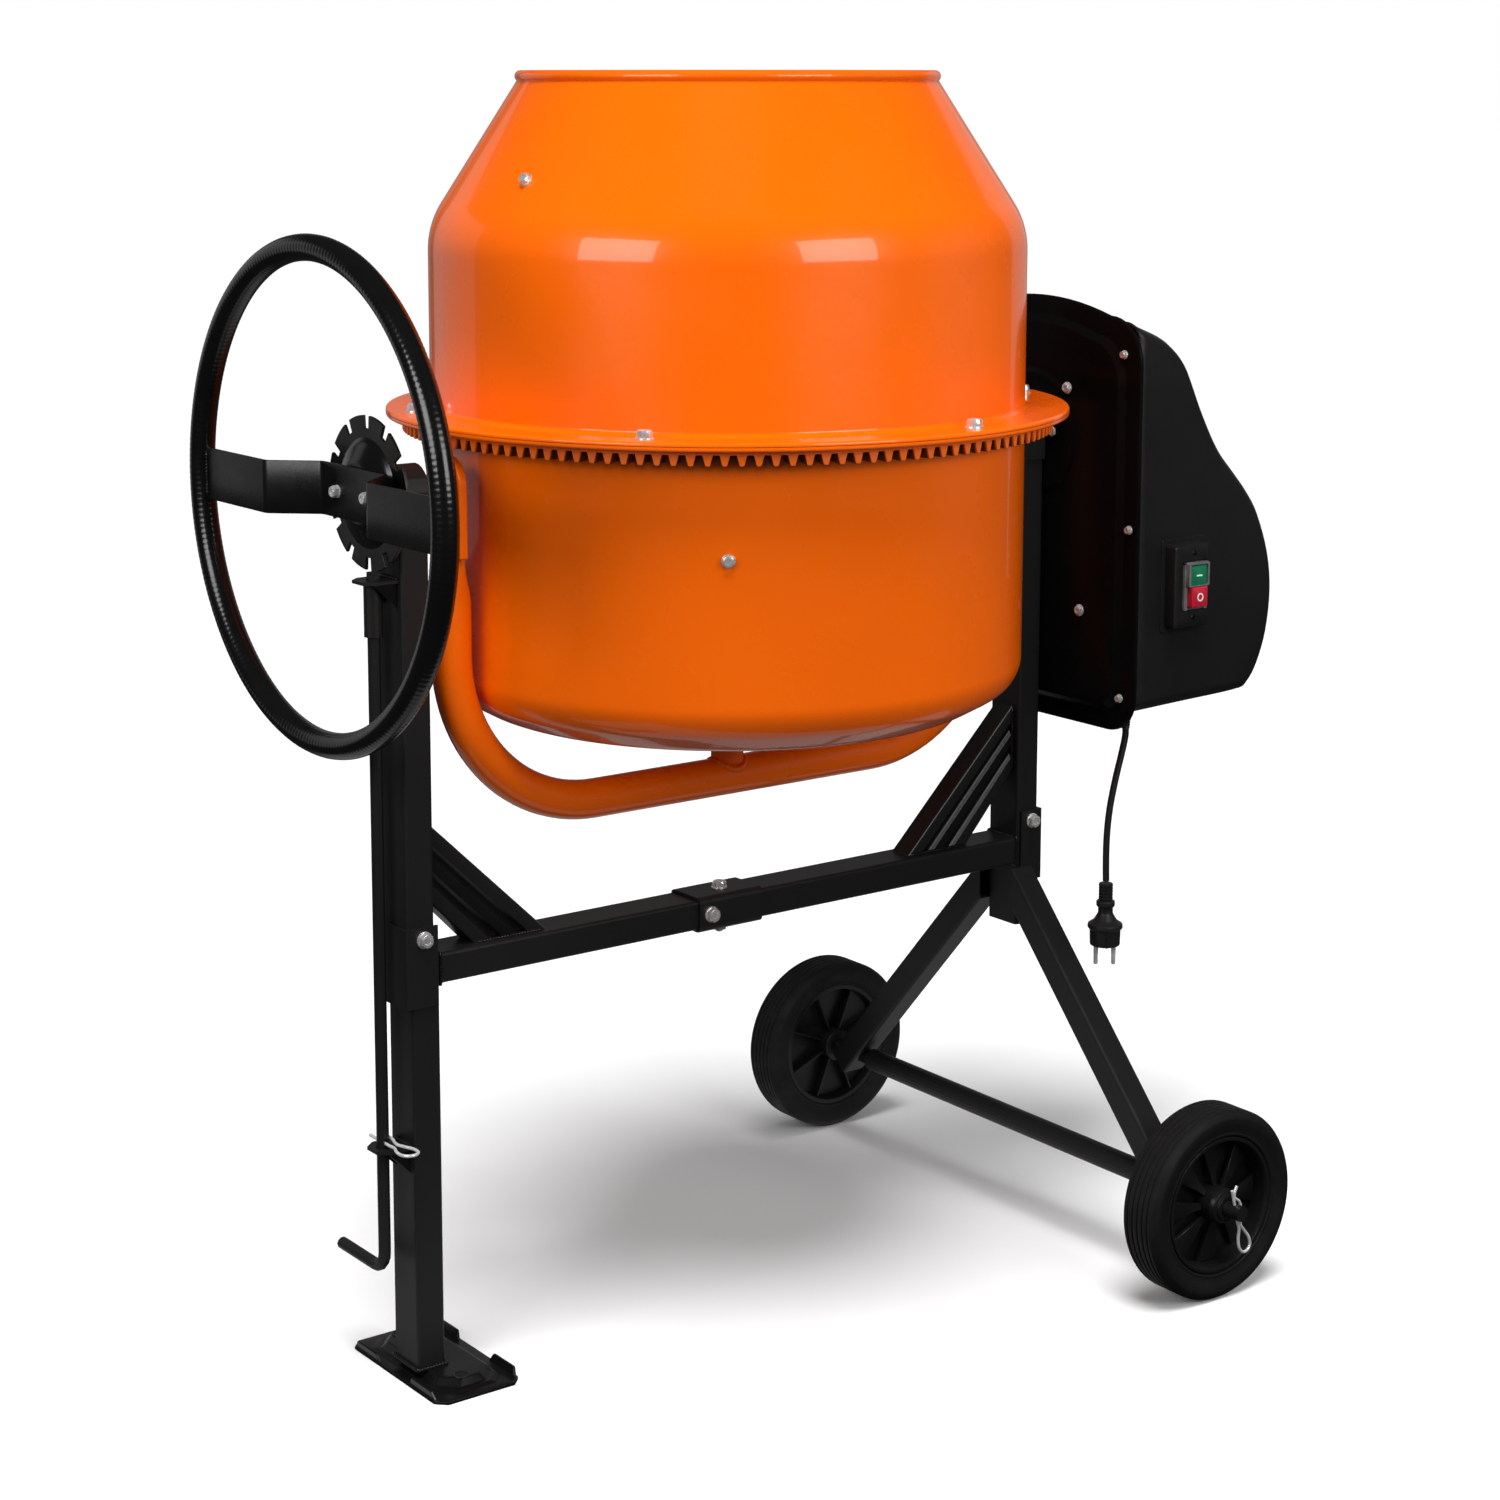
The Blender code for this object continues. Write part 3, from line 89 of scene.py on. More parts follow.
# Stand
WHEEL_R, TYRE_INNER_R, WHEEL_Y, AXLE_R = 0.1, 0.0725, 0.315, 0.008
AXLE_X = JOINTS["front_wheel_spin"]["pos_m"][0] - DRUM_X
CLIP_Y = 0.3555
CHANNEL_BOLT_Z, BAR_SPLIT_X = 0.438, -0.024
FOOT_X, FOOT_Y, FOOT_LONG, FOOT_WIDE, FOOT_STEP = -0.349, 0.005, 0.172, 0.094, 0.012
PLATE_THICK = 0.0026

# Motor housing
PANEL_X, PANEL_BACK, PANEL_RIM = 0.4095, 0.419, 0.415
PANEL_HALF, PANEL_LOW, PANEL_HIGH = 0.157, 0.553, 1.009
COVER_HALF = 0.15
SWITCH_X, SWITCH_Z, SWITCH_FACE, BUTTON_PITCH = 0.4885, 0.7075, -0.1655, 0.023
WELL_X, WELL_HALF, WELL_TALL = 0.4925, 0.017, 0.026
KEY_HALF_X, KEY_HALF_Z = 0.0119 - GAP, 0.0112 - GAP

# Mains lead: the same route as the CAD part's, from the gland down to the plug
CORD_R = 0.0036
CORD_ROUTE = (
    (0.45, -0.11, 0.5483), (0.45, -0.11, 0.542), (0.4484, -0.11, 0.534),
    (0.4456, -0.11, 0.524), (0.4424, -0.11, 0.5135), (0.4382, -0.11, 0.5),
    (0.4338, -0.11, 0.484), (0.4296, -0.11, 0.466), (0.4266, -0.11, 0.446),
    (0.4252, -0.11, 0.424), (0.4252, -0.11, 0.403), (0.4258, -0.11, 0.384),
)
PLUG_TOP, GLAND_TOP, GLAND_LONG = 0.3835, 0.5728, 0.024

# Bolt sizes: width across the flats, height of the head, radius of the washer
FLANGE_BOLT, FRAME_BOLT = (0.013, 0.0068, 0.0088), (0.013, 0.0056, 0.0082)
BLADE_BOLT, BLADE_NUT = (0.01, 0.0046, 0.0066), (0.01, 0.005, 0.0075)
SPOKE_BOLT, HUB_BOLT = (0.01, 0.0058, 0.0062), (0.01, 0.0022, None)
PANEL_SCREW, PANEL_BOLT = (0.0068, 0.0036, 0.0047), (0.009, 0.003, 0.0064)
WASHER_THICK = 0.0012

ALONG_X = Matrix(((0, 0, 1), (1, 0, 0), (0, 1, 0))).to_4x4()     # local X, Y, Z to world Y, Z, X
FRONT = Matrix(((1, 0, 0), (0, 0, -1), (0, 1, 0))).to_4x4()      # local X, Y, Z to world X, Z, -Y
LEFT_RIGHT = (("left", -1), ("right", 1))
FRONT_REAR = (("front", -1), ("rear", 1))


def at(x, y, z, turn=None):
    """A place counted from the drum's axis, with a rotation."""
    place = Matrix.Translation(AXIS + Vector((x, y, z)))
    return place @ turn if turn is not None else place


def facing(spot, normal):
    """A place whose local Z points along a direction."""
    return at(*spot) @ Vector(normal).to_track_quat("Z", "Y").to_matrix().to_4x4()


ON_AXIS = at(0, 0, 0)


def add(name, data):
    """A new object of the scene."""
    made = bpy.data.objects.new(name, data)
    bpy.context.scene.collection.objects.link(made)
    return made


# Camera

def camera():
    azimuth, tilt = radians(36.156), radians(8.778)
    data = bpy.data.cameras.new("camera")
    data.sensor_width, data.lens = 36.0, 70.94
    data.shift_x, data.shift_y = 0.024, -0.145
    data.clip_end = 200.0
    made = add("camera", data)
    made.location = AXIS + Vector((-1.7366, -2.354, 1.24))
    level = cos(tilt)
    forward = Vector((sin(azimuth) * level, cos(azimuth) * level, -sin(tilt)))
    made.rotation_euler = forward.to_track_quat("-Z", "Y").to_euler()
    bpy.context.scene.camera = made


camera()


# Materials

def add_node(tree, kind, **inputs):
    """A new shader node. Each input is a value or another node's output."""
    node = tree.nodes.new(f"ShaderNode{kind}")
    for key, value in inputs.items():
        socket = node.inputs[key.replace("_", " ")]
        if isinstance(value, bpy.types.NodeSocket):
            tree.links.new(value, socket)
        else:
            socket.default_value = value
    return node


class Nodes:
    """A short way to add and join the nodes of one material."""

    def __init__(self, name, **values):
        self.material = bpy.data.materials.new(name)
        self.material.use_nodes = True
        self.tree = self.material.node_tree
        self.shader = self.tree.nodes["Principled BSDF"].inputs
        self.coords = self.add("TexCoord").outputs["Object"]
        self.normal = None
        for key, value in values.items():
            self.shader[key.replace("_", " ")].default_value = value

    def add(self, kind, **inputs):
        return add_node(self.tree, kind, **inputs)

    def noise(self, scale, detail=3.0, rough=0.5, stretch=None):
        place = self.coords
        if stretch:
            place = self.add("Mapping", Vector=place, Scale=stretch).outputs["Vector"]
        return self.add("TexNoise", Vector=place, Scale=scale, Detail=detail, Roughness=rough).outputs["Fac"]

    def cells(self, scale):
        return self.add("TexVoronoi", Vector=self.coords, Scale=scale).outputs["Distance"]

    def height(self):
        return self.add("SeparateXYZ", Vector=self.coords).outputs["Z"]

    def radius(self):
        """The distance from the drum's axis."""
        flat = self.add("VectorMath", Vector=self.coords)
        flat.operation = "MULTIPLY_ADD"
        flat.inputs[1].default_value, flat.inputs[2].default_value = (1, 1, 0), -AXIS
        length = self.add("VectorMath", Vector=flat.outputs[0])
        length.operation = "LENGTH"
        return length.outputs["Value"]

    def spread(self, output, low=0.0, high=1.0, start=0.3, end=0.7):
        """The output between start and end, as a value from low to high."""
        return self.add("MapRange", Value=output, From_Min=start, From_Max=end, To_Min=low,
                        To_Max=high).outputs["Result"]

    def blend(self, output, first, second):
        node = self.add("Mix", Factor=output)
        node.data_type = "RGBA"
        for socket, colour in ((node.inputs[6], first), (node.inputs[7], second)):
            if isinstance(colour, tuple):
                socket.default_value = (*colour, 1.0)
            else:
                self.tree.links.new(colour, socket)
        return node.outputs[2]

    def drift(self, scale, detail, first, second):
        """A slow change between two colours."""
        return self.blend(self.spread(self.noise(scale, detail)), first, second)

    def bump(self, output, depth, strength=1.0):
        node = self.add("Bump", Height=output, Distance=depth, Strength=strength)
        if self.normal:
            self.tree.links.new(self.normal, node.inputs["Normal"])
        self.normal = node.outputs["Normal"]
        self.tree.links.new(self.normal, self.shader["Normal"])

    def colour(self, output):
        self.tree.links.new(output, self.shader["Base Color"])

    def roughness(self, output, low, high):
        self.tree.links.new(self.spread(output, low, high), self.shader["Roughness"])


def shade(colour, factor):
    return tuple(min(1.0, part * factor) for part in colour)


def drum_enamel(name, smooth, rough, grain, painted_shade=None):
    """Sprayed enamel: drifts of colour and gloss and a fine orange peel. A dark colour paints shade on it
    behind the ring gear, from below the teeth up to the gear's top."""
    made = Nodes(name, Specular_IOR_Level=0.24, Coat_Weight=0.5, Coat_Roughness=0.035)
    colour = made.drift(5.0, 2.0, shade(DRUM_COLOUR, 0.92), DRUM_COLOUR)
    if painted_shade:
        # Painted shade: darker from below the teeth's tips up to the gear's top, then the plain colour above it.
        band = made.spread(made.height(), start=GEAR_TIP - 0.01, end=GEAR_ROOT - 0.002)
        above = made.spread(made.height(), start=GEAR_TOP - 0.0012, end=GEAR_TOP - 0.0002)
        colour = made.blend(above, made.blend(band, colour, painted_shade), DRUM_COLOUR)
    made.colour(colour)
    made.roughness(made.noise(14.0, 4.0), smooth, rough)
    made.bump(made.noise(170.0, 1.0), 0.00005)
    made.bump(made.noise(900.0, 2.0), grain)
    return made.material


def gear_paint(name, colour, gap_shade):
    """Painted fronts of the teeth, with painted shade on the faces behind them, in the gaps."""
    made = Nodes(name, Specular_IOR_Level=0.35)
    # Painted shade: all but the teeth's fronts take the dark colour, as the gaps between the teeth lie in shade.
    front = made.spread(made.radius(), start=GEAR_OUTER - 0.003, end=GEAR_OUTER - 0.0006)
    shaded_gaps = made.drift(90.0, 4.0, gap_shade, shade(gap_shade, 1.8))
    made.colour(made.blend(front, shaded_gaps, made.drift(30.0, 3.0, shade(colour, 0.88), colour)))
    made.roughness(made.noise(40.0, 4.0), 0.38, 0.52)
    made.bump(made.noise(300.0, 2.0), 0.00008)
    return made.material


def black_enamel(name, rough, grain, specular=0.42):
    """Black stoving paint on steel: fine grain, faint rubbed patches and paler corners as a painted highlight."""
    made = Nodes(name, Specular_IOR_Level=specular)
    # Painted highlight: sharp corners and edges are lifted to a paler grey.
    corner_highlight = made.spread(made.add("NewGeometry").outputs["Pointiness"], 0.0, 0.5, 0.54, 0.64)
    plain = made.drift(9.0, 4.0, (0.0025, 0.0025, 0.0026), (0.0045, 0.0045, 0.0047))
    made.colour(made.blend(corner_highlight, plain, (0.018, 0.018, 0.017)))
    made.roughness(made.noise(22.0, 5.0, 0.6), rough * 0.8, rough * 1.25)
    made.bump(made.noise(420.0, 2.0), grain)
    made.bump(made.noise(60.0, 1.0), grain * 2.0, 0.6)
    return made.material


def moulded_plastic(name, colour, rough, grain, scale=900.0, specular=0.4):
    """Moulded plastic with an eroded grain."""
    made = Nodes(name, Specular_IOR_Level=specular)
    made.colour(made.drift(7.0, 3.0, shade(colour, 0.85), shade(colour, 1.15)))
    made.roughness(made.noise(30.0, 4.0), rough * 0.9, rough * 1.12)
    made.bump(made.cells(scale), grain)
    made.bump(made.noise(scale * 2.2, 2.0), grain * 0.5)
    return made.material


def rubber(name):
    """Matt solid rubber with patches of pale dust."""
    made = Nodes(name, Specular_IOR_Level=0.3)
    dust = made.spread(made.noise(16.0, 6.0, 0.65), 0.0, 0.55, 0.45, 0.8)
    made.colour(made.blend(dust, (0.0055, 0.0055, 0.0055), (0.014, 0.0138, 0.0132)))
    made.roughness(made.noise(45.0, 4.0), 0.55, 0.78)
    made.bump(made.noise(700.0, 3.0), 0.0001)
    made.bump(made.noise(120.0, 2.0), 0.00012, 0.5)
    return made.material


def plated(name, colour, rough, scale=60.0, metal=0.66):
    """Zinc plating: small patches of hue and gloss over a fine rolled grain."""
    made = Nodes(name, Metallic=metal, Specular_IOR_Level=0.9)
    patch = made.spread(made.noise(scale, 4.0, 0.6))
    made.colour(made.blend(patch, shade(colour, 0.72), shade(colour, 1.12)))
    made.roughness(made.noise(scale * 3, 4.0), rough * 0.7, rough * 1.5)
    made.bump(made.noise(scale * 20, 2.0), 0.00004)
    return made.material


def turned_metal(name, colour, rough, depth=0.00004):
    """Bare metal with fine marks drawn out along one direction."""
    made = Nodes(name, Metallic=1.0)
    marks = made.noise(120.0, 4.0, 0.6, (0.15, 6.0, 6.0))
    made.colour(made.blend(made.spread(marks), shade(colour, 0.75), colour))
    made.roughness(marks, rough * 0.75, rough * 1.35)
    made.bump(marks, depth)
    return made.material


def guard_plastic(name):
    """The smoked plastic of the guard round the buttons."""
    made = Nodes(name, IOR=1.46, Specular_IOR_Level=0.5)
    made.colour(made.drift(60.0, 3.0, (0.1, 0.105, 0.105), (0.16, 0.165, 0.165)))
    made.roughness(made.noise(90.0), 0.12, 0.24)
    made.bump(made.noise(400.0), 0.00003)
    return made.material


DRUM_COLOUR = (0.96, 0.138, 0.0002)
ORANGE = drum_enamel("orange_enamel", 0.2295, 0.324, 0.0000075)
# The lower shell's last colour is painted shade behind the ring gear.
LOWER_ORANGE = drum_enamel("orange_enamel_lower", 0.23, 0.32, 0.00001, (0.08, 0.013, 0.0003))
# The gear's second colour is painted shade for the gaps between its teeth.
GEAR_ORANGE = gear_paint("orange_enamel_gear", (0.94, 0.15, 0.0004), (0.04, 0.01, 0.0006))
BLACK = black_enamel("black_enamel", 0.27, 0.00005)
SHINY_BLACK = black_enamel("black_enamel_gloss", 0.2, 0.00003, 0.55)
PANEL_BLACK = black_enamel("black_enamel_panel", 0.2, 0.00003, 0.05)
PLASTIC = moulded_plastic("black_moulded", (0.0085, 0.0085, 0.0088), 0.42, 0.00006)
RIM_PLASTIC = moulded_plastic("black_rim_moulded", (0.0065, 0.0065, 0.0068), 0.36, 0.00004, 600.0)
CORD_PVC = moulded_plastic("black_cord_pvc", (0.012, 0.012, 0.0125), 0.42, 0.00003, 1500.0)
GREEN = moulded_plastic("green_button", (0.004, 0.16, 0.07), 0.34, 0.00002, 1200.0, 0.5)
RED = moulded_plastic("red_button", (0.5, 0.01, 0.03), 0.34, 0.00002, 1200.0, 0.5)
WHITE = moulded_plastic("white_symbol", (0.82, 0.82, 0.8), 0.45, 0.00002, 1500.0, 0.5)
GUARD = guard_plastic("smoked_guard")
RUBBER = rubber("solid_rubber")
ZINC = plated("zinc_plating", (0.86, 0.86, 0.85), 0.2)
WIRE = plated("zinc_wire", (0.92, 0.92, 0.91), 0.16, 90.0, 0.45)
STEEL = turned_metal("bright_steel", (0.55, 0.55, 0.55), 0.28)
IRON = turned_metal("cast_iron", (0.16, 0.155, 0.15), 0.55, 0.00015)
ALUMINIUM = turned_metal("cast_aluminium", (0.58, 0.59, 0.6), 0.42)

# The record's slots with the looks that belong to them. CAD nodes wear the first of a slot
LOOKS = {
    "orange_paint": (ORANGE, LOWER_ORANGE, GEAR_ORANGE), "black_paint": (BLACK, SHINY_BLACK, PANEL_BLACK),
    "black_plastic": (PLASTIC, RIM_PLASTIC, CORD_PVC), "zinc_plate": (ZINC, WIRE), "tyre_rubber": (RUBBER,),
    "bright_steel": (STEEL,), "cast_iron": (IRON,), "motor_aluminium": (ALUMINIUM,),
    "green_plastic": (GREEN,), "red_plastic": (RED,), "grey_plastic": (GUARD,),
}
SLOT_OF = {look.name: slot for slot, looks in LOOKS.items() for look in looks}


# Outlines

def polar(r, a, z=0.0):
    """The point at a radius and an angle about Z."""
    return Vector((r * cos(a), r * sin(a), z))


def full_turn(count):
    """This many even angles of a full turn."""
    return [2 * pi * k / count for k in range(count)]


def raised(outline, z):
    """A flat outline as a ring of points at a height."""
    return [Vector((x, y, z)) for x, y in outline]


def arc(radius, start, end, steps, centre=(0, 0)):
    """Points on an arc, in degrees, both ends included."""
    angles = [radians(start + (end - start) * i / steps) for i in range(steps + 1)]
    return [(centre[0] + radius * cos(a), centre[1] + radius * sin(a)) for a in angles]


def rounded(points, steps, closed=False):
    """An outline whose corners are arcs: each point is x, y and its corner radius."""
    made, count = [], len(points)
    for i, (x, y, radius) in enumerate(points):
        here = Vector((x, y))
        if not radius or (not closed and i in (0, count - 1)):
            made.append((x, y))
            continue
        before = (Vector(points[i - 1][:2]) - here).normalized()
        after = (Vector(points[(i + 1) % count][:2]) - here).normalized()
        half = before.angle(after) / 2
        reach = radius / tan(half)
        centre = here + (before + after).normalized() * radius / sin(half)
        first, last = here + before * reach - centre, here + after * reach - centre
        for k in range(steps + 1):
            spot = centre + first.slerp(last, k / steps) * radius
            made.append((spot.x, spot.y))
    return made


def rectangle(half_x, half_y, bend, steps, middle=(0, 0)):
    """A rectangle with round corners."""
    corners = ((-1, -1), (1, -1), (1, 1), (-1, 1))
    return rounded([(middle[0] + x * half_x, middle[1] + y * half_y, bend) for x, y in corners], steps, True)


def thickened(line, wall):
    """A closed outline round an open one, its second side this far to the right."""
    points = [Vector(p) for p in line]
    other = []
    for i, point in enumerate(points):
        way = (points[min(i + 1, len(points) - 1)] - points[max(i - 1, 0)]).normalized()
        other.append(point + Vector((way.y, -way.x)) * wall)
    return [tuple(p) for p in points + other[::-1]]


def flowing(points, samples):
    """Points on a smooth curve through the given ones."""
    line = [Vector(p) for p in points]
    padded = [line[0] * 2 - line[1], *line, line[-1] * 2 - line[-2]]
    route = []
    for a, b, c, d in zip(padded, padded[1:], padded[2:], padded[3:]):
        for i in range(samples):
            t = i / samples
            route.append(0.5 * (2 * b + (c - a) * t + (2 * a - 5 * b + 4 * c - d) * t ** 2
                                + (3 * b - a - 3 * c + d) * t ** 3))
    return [*route, line[-1]]


# Makers: each returns a function that adds its shape to a bmesh

def loft(rings, closed=False):
    """Rings of the same number of points, joined, with the two ends capped."""
    def make(bm):
        made = [[bm.verts.new(p) for p in ring] for ring in rings]
        pairs = list(zip(made, made[1:]))
        if closed:
            pairs.append((made[-1], made[0]))
        for ring, after in pairs:
            for j in range(len(ring)):
                k = (j + 1) % len(ring)
                bm.faces.new((ring[j], ring[k], after[k], after[j]))
        if not closed:
            bm.faces.new(made[0][::-1])
            bm.faces.new(made[-1])
    return make


def lathe(profile, steps, closed=True):
    """An (r, z) outline turned about local Z. An open one starts and ends on the axis."""
    def make(bm):
        made = [[bm.verts.new(polar(r, a, z)) for r, z in profile] for a in full_turn(steps)]
        count = len(profile)
        for ring, after in zip(made, made[1:] + made[:1]):
            for j in range(count if closed else count - 1):
                i = (j + 1) % count
                bm.faces.new((ring[j], after[j], after[i], ring[i]))
        bmesh.ops.remove_doubles(bm, verts=bm.verts, dist=1e-7)
    return make


def prism(outline, low, high):
    """A straight-sided solid from local Z low to high."""
    return loft([raised(outline, z) for z in (low, high)])


def tube(path, section, side=None, closed=False):
    """A section swept along a path. section(i) gives the (across, up) points of a station."""
    points = [Vector(p) for p in path]
    count = len(points)
    rings, up = [], None
    for i, point in enumerate(points):
        before = points[i - 1] if closed or i else point
        after = points[(i + 1) % count] if closed or i < count - 1 else point
        way = (after - before).normalized()
        if side is not None:
            across = Vector(side)
        else:
            up = way.orthogonal() if up is None else up
            across = way.cross(up).normalized()
        up = across.cross(way).normalized()
        rings.append([point + across * a + up * b for a, b in section(i)])
    return loft(rings, closed)


def piece(name, makers, look, body, place=None, node=None, slot="of look", bend=35, bevel=0.0):
    """Run the makers, put the mesh in place and let it ride on a body."""
    bm = bmesh.new()
    for maker in makers if isinstance(makers, list) else [makers]:
        maker(bm)
    if place is not None:
        bm.transform(place)
    bmesh.ops.recalc_face_normals(bm, faces=bm.faces)
    mesh = bpy.data.meshes.new(name)
    bm.to_mesh(mesh)
    bm.free()
    mesh.materials.append(look)
    mesh.shade_smooth()
    made = add(name, mesh)
    if bevel:
        edge = made.modifiers.new("edges", "BEVEL")
        edge.width, edge.segments = bevel, 3
        edge.limit_method, edge.angle_limit = "ANGLE", radians(30)
        edge.harden_normals = True
    mesh.set_sharp_from_angle(angle=radians(bend))
    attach(made, body)
    if node:
        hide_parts(node)
    if slot == "of look":
        slot = SLOT_OF.get(look.name)
    return made


# Mains lead, first because its room is measured

def plug():
    """The moulded plug: a ribbed relief, a round body, two pins and the line of its joint."""
    x, y, _ = CORD_ROUTE[-1]
    top = Vector((x, y, PLUG_TOP - GAP))
    relief = [(0, -0.0015), (0.0068, -0.0015)]
    for k in range(5):
        z = -0.0022 - 0.0036 * k
        relief += [(0.0076, z), (0.0076, z - 0.0022), (0.0063, z - 0.0024), (0.0063, z - 0.0034)]
    head = rounded([(0.0074, -0.0206, 0), (0.01, -0.0208, 0.0012), (0.01, -0.0262, 0.0015),
                    (0.008, -0.0285, 0.0015), (0.008, -0.0345, 0.006), (0.0128, -0.0425, 0.006),
                    (0.0186, -0.0462, 0.001), (0.019, -0.0506, 0.0014), (0.0167, -0.052, 0.0006),
                    (0.0162, -0.07, 0.002), (0.0, -0.0716, 0)], 3)
    body = lathe(relief + head, 40, False)
    made = [piece("plug_body", body, CORD_PVC, "tilt_frame", at(*top), "mains_plug")]
    across, pin_apart = Vector((0.7986, -0.6018, 0)), 0.0095
    pin = rounded([(0.0, -0.07, 0), (0.0026, -0.07, 0), (0.0026, -0.08, 0), (0.0024, -0.0801, 0),
                   (0.0024, -0.092, 0.0016), (0.0, -0.092, 0)], 5)
    for name, side in LEFT_RIGHT:
        spot = top + across * pin_apart * side
        made.append(piece(f"plug_pin_{name}", lathe(pin, 20, False), WIRE, "tilt_frame", at(*spot),
                          slot="bright_steel"))
    turn = Matrix.Rotation(atan2(across.y, across.x), 4, "Z")
    groove = prism(rectangle(0.0004, 0.0174, 0, 1), -0.07, -0.0572)
    made.append(piece("plug_joint_line", groove, RUBBER, "tilt_frame", at(*top, turn), slot=None))
    return made


def mains_lead():
    curve = bpy.data.curves.new("mains_cord", "CURVE")
    curve.dimensions = "3D"
    curve.bevel_depth, curve.bevel_resolution, curve.use_fill_caps = CORD_R, 6, True
    line = curve.splines.new("POLY")
    route = [p + AXIS for p in flowing(CORD_ROUTE, 3)]
    line.points.add(len(route) - 1)
    for point, place in zip(line.points, route):
        point.co = (*place, 1.0)
    curve.materials.append(CORD_PVC)
    cord = add("mains_cord", curve)
    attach(cord, "tilt_frame")
    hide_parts("power_cord")
    plug()


def cord_relief():
    """The ribbed and tapered relief below its collar in the housing."""
    x, y, _ = CORD_ROUTE[0]
    profile = rounded([(CORD_R + 0.0002, 0.0006, 0), (0.01, 0.0006, 0.001), (0.01, -0.004, 0.001),
                       (0.0066, -0.0046, 0.001), (0.0058, -0.007, 0)], 3)
    for k in range(5):
        z, r = -0.0086 - 0.003 * k, 0.0058 - 0.00028 * k
        profile += [(r - 0.0007, z + 0.0014), (r, z + 0.0008), (r, z - 0.0006), (r - 0.0007, z - 0.0011)]
    profile += [(0.0044, -GLAND_LONG), (CORD_R + 0.0001, -GLAND_LONG)]
    piece("cord_relief", lathe(profile, 26), CORD_PVC, "tilt_frame", at(x, y, GLAND_TOP), "cord_gland")


mains_lead()
cord_relief()


# Fasteners and welds

def bolt(name, place, body, size, node=None, shank=0.0):
    """A hex bolt on local +Z of its seat, with a washer, and with a shank and its nut where it has one."""
    across, tall, washer = size
    apothem, corner = across / 2, across / sqrt(3)
    low, makers, rings = 0.0, [], []
    if washer:
        disc = rounded([(0, 0, 0), (washer, 0, 0), (washer, WASHER_THICK, 0.0004), (0, WASHER_THICK, 0)], 2)
        makers.append(lathe(disc, 28, False))
        low = WASHER_THICK
    for share, lift, full in ((1, 0, 1), (1, 0.8, 1), (0.955, 0.97, 0), (0.9, 1, 0), (0.55, 1, 0),
                              (0.45, 0.88, 0)):
        ring = []
        for a in full_turn(24):
            flat = cos((a + pi / 6) % (pi / 3) - pi / 6)
            r = apothem / flat if full else apothem * share
            drop = 0.1 * (r / corner) if full and lift else 0.0
            ring.append(polar(r, a, low + tall * (lift - drop)))
        rings.append(ring)
    makers.append(loft(rings))
    if shank:
        r, nut_low = across * 0.3, 0.0025 - shank
        stud = [(0, low), (r, low), (r, 0.001 - shank), (r - 0.0008, -shank), (0, -shank)]
        makers.append(lathe(stud, 16, False))
        makers.append(prism(arc(corner, 0, 300, 5), nut_low, nut_low + across * 0.45))
    piece(name, makers, ZINC, body, place, node, bend=30)


def weld(name, path, radius, look, body, closed=False):
    """A weld bead: a rippled half-round line along a joint."""
    points = []
    line = [Vector(p) for p in path]
    if closed:
        line.append(line[0])
    for a, b in zip(line, line[1:]):
        count = max(2, round((b - a).length / 0.0011))
        points += [a + (b - a) * k / count for k in range(count)]
    if not closed:
        points.append(line[-1])

    def section(i):
        r = radius * (1.0 + 0.16 * sin(i * 2.1) + 0.06 * sin(i * 0.37))
        end = 1.0 if closed else min(1.0, 0.35 + min(i, len(points) - 1 - i) * 0.3)
        return arc(r * end, 0, 315, 7)

    piece(name, tube([AXIS + p for p in points], section, None, closed), look, body, bend=60)


# Drum

def drum_shells():
    skin = SHEET * 0.9
    cone = Vector((MOUTH_R - WALL_R, RIM_Z - SHOULDER_Z)).normalized()
    neck = (MOUTH_R - cone.x * 0.0035, RIM_Z - cone.y * 0.0035)
    outer = rounded([(FLANGE_R, FLANGE_MID + GAP, 0), (FLANGE_R, FLANGE_TOP, 0.0026),
                     (WALL_R, FLANGE_TOP, 0.0045), (WALL_R, SHOULDER_Z, SHOULDER_BEND), (*neck, 0)], 9)
    bead = arc(BEAD_R, -50, 200, 14, (MOUTH_R, RIM_Z))
    inner = rounded([(neck[0] - skin, neck[1] - 0.001, 0), (WALL_R - skin, SHOULDER_Z - 0.001, SHOULDER_BEND),
                     (WALL_R - skin, FLANGE_MID + GAP, 0)], 9)
    piece("drum_upper_shell", lathe(outer[:-1] + bead + inner, DRUM_STEPS), ORANGE, "drum", ON_AXIS,
          "upper_drum", bend=50)

    crown_z, edge_bend = FLOOR_MID_Z + 0.001, 0.075
    low = rounded([(FLOOR_HOLE_R, FLOOR_MID_Z, 0), (0.06, crown_z, 0.02), (*FLOOR_EDGE, edge_bend),
                   (WALL_R, FLOOR_CORNER_Z, FLOOR_BEND), (WALL_R, FLANGE_LOW, 0.004),
                   (FLANGE_R, FLANGE_LOW, 0.002), (FLANGE_R, FLANGE_MID, 0)], 9)
    inside = rounded([(WALL_R - SHEET, FLANGE_MID, 0),
                      (WALL_R - SHEET, FLOOR_CORNER_Z + 0.001, FLOOR_BEND - SHEET),
                      (FLOOR_EDGE[0], FLOOR_EDGE[1] + SHEET, edge_bend), (0.06, crown_z + SHEET, 0.02),
                      (FLOOR_HOLE_R, FLOOR_MID_Z + SHEET, 0)], 9)
    piece("drum_lower_shell", lathe(low + inside, DRUM_STEPS), LOWER_ORANGE, "drum", ON_AXIS, "lower_drum",
          bend=50)
    seam = radians(128)
    for name, ends in (("lower", (0.672, FLANGE_LOW - 0.002)), ("upper", (FLANGE_TOP + 0.004, 1.082))):
        weld(f"drum_seam_{name}", [polar(WALL_R, seam, z) for z in ends], 0.0011, ORANGE, "drum")


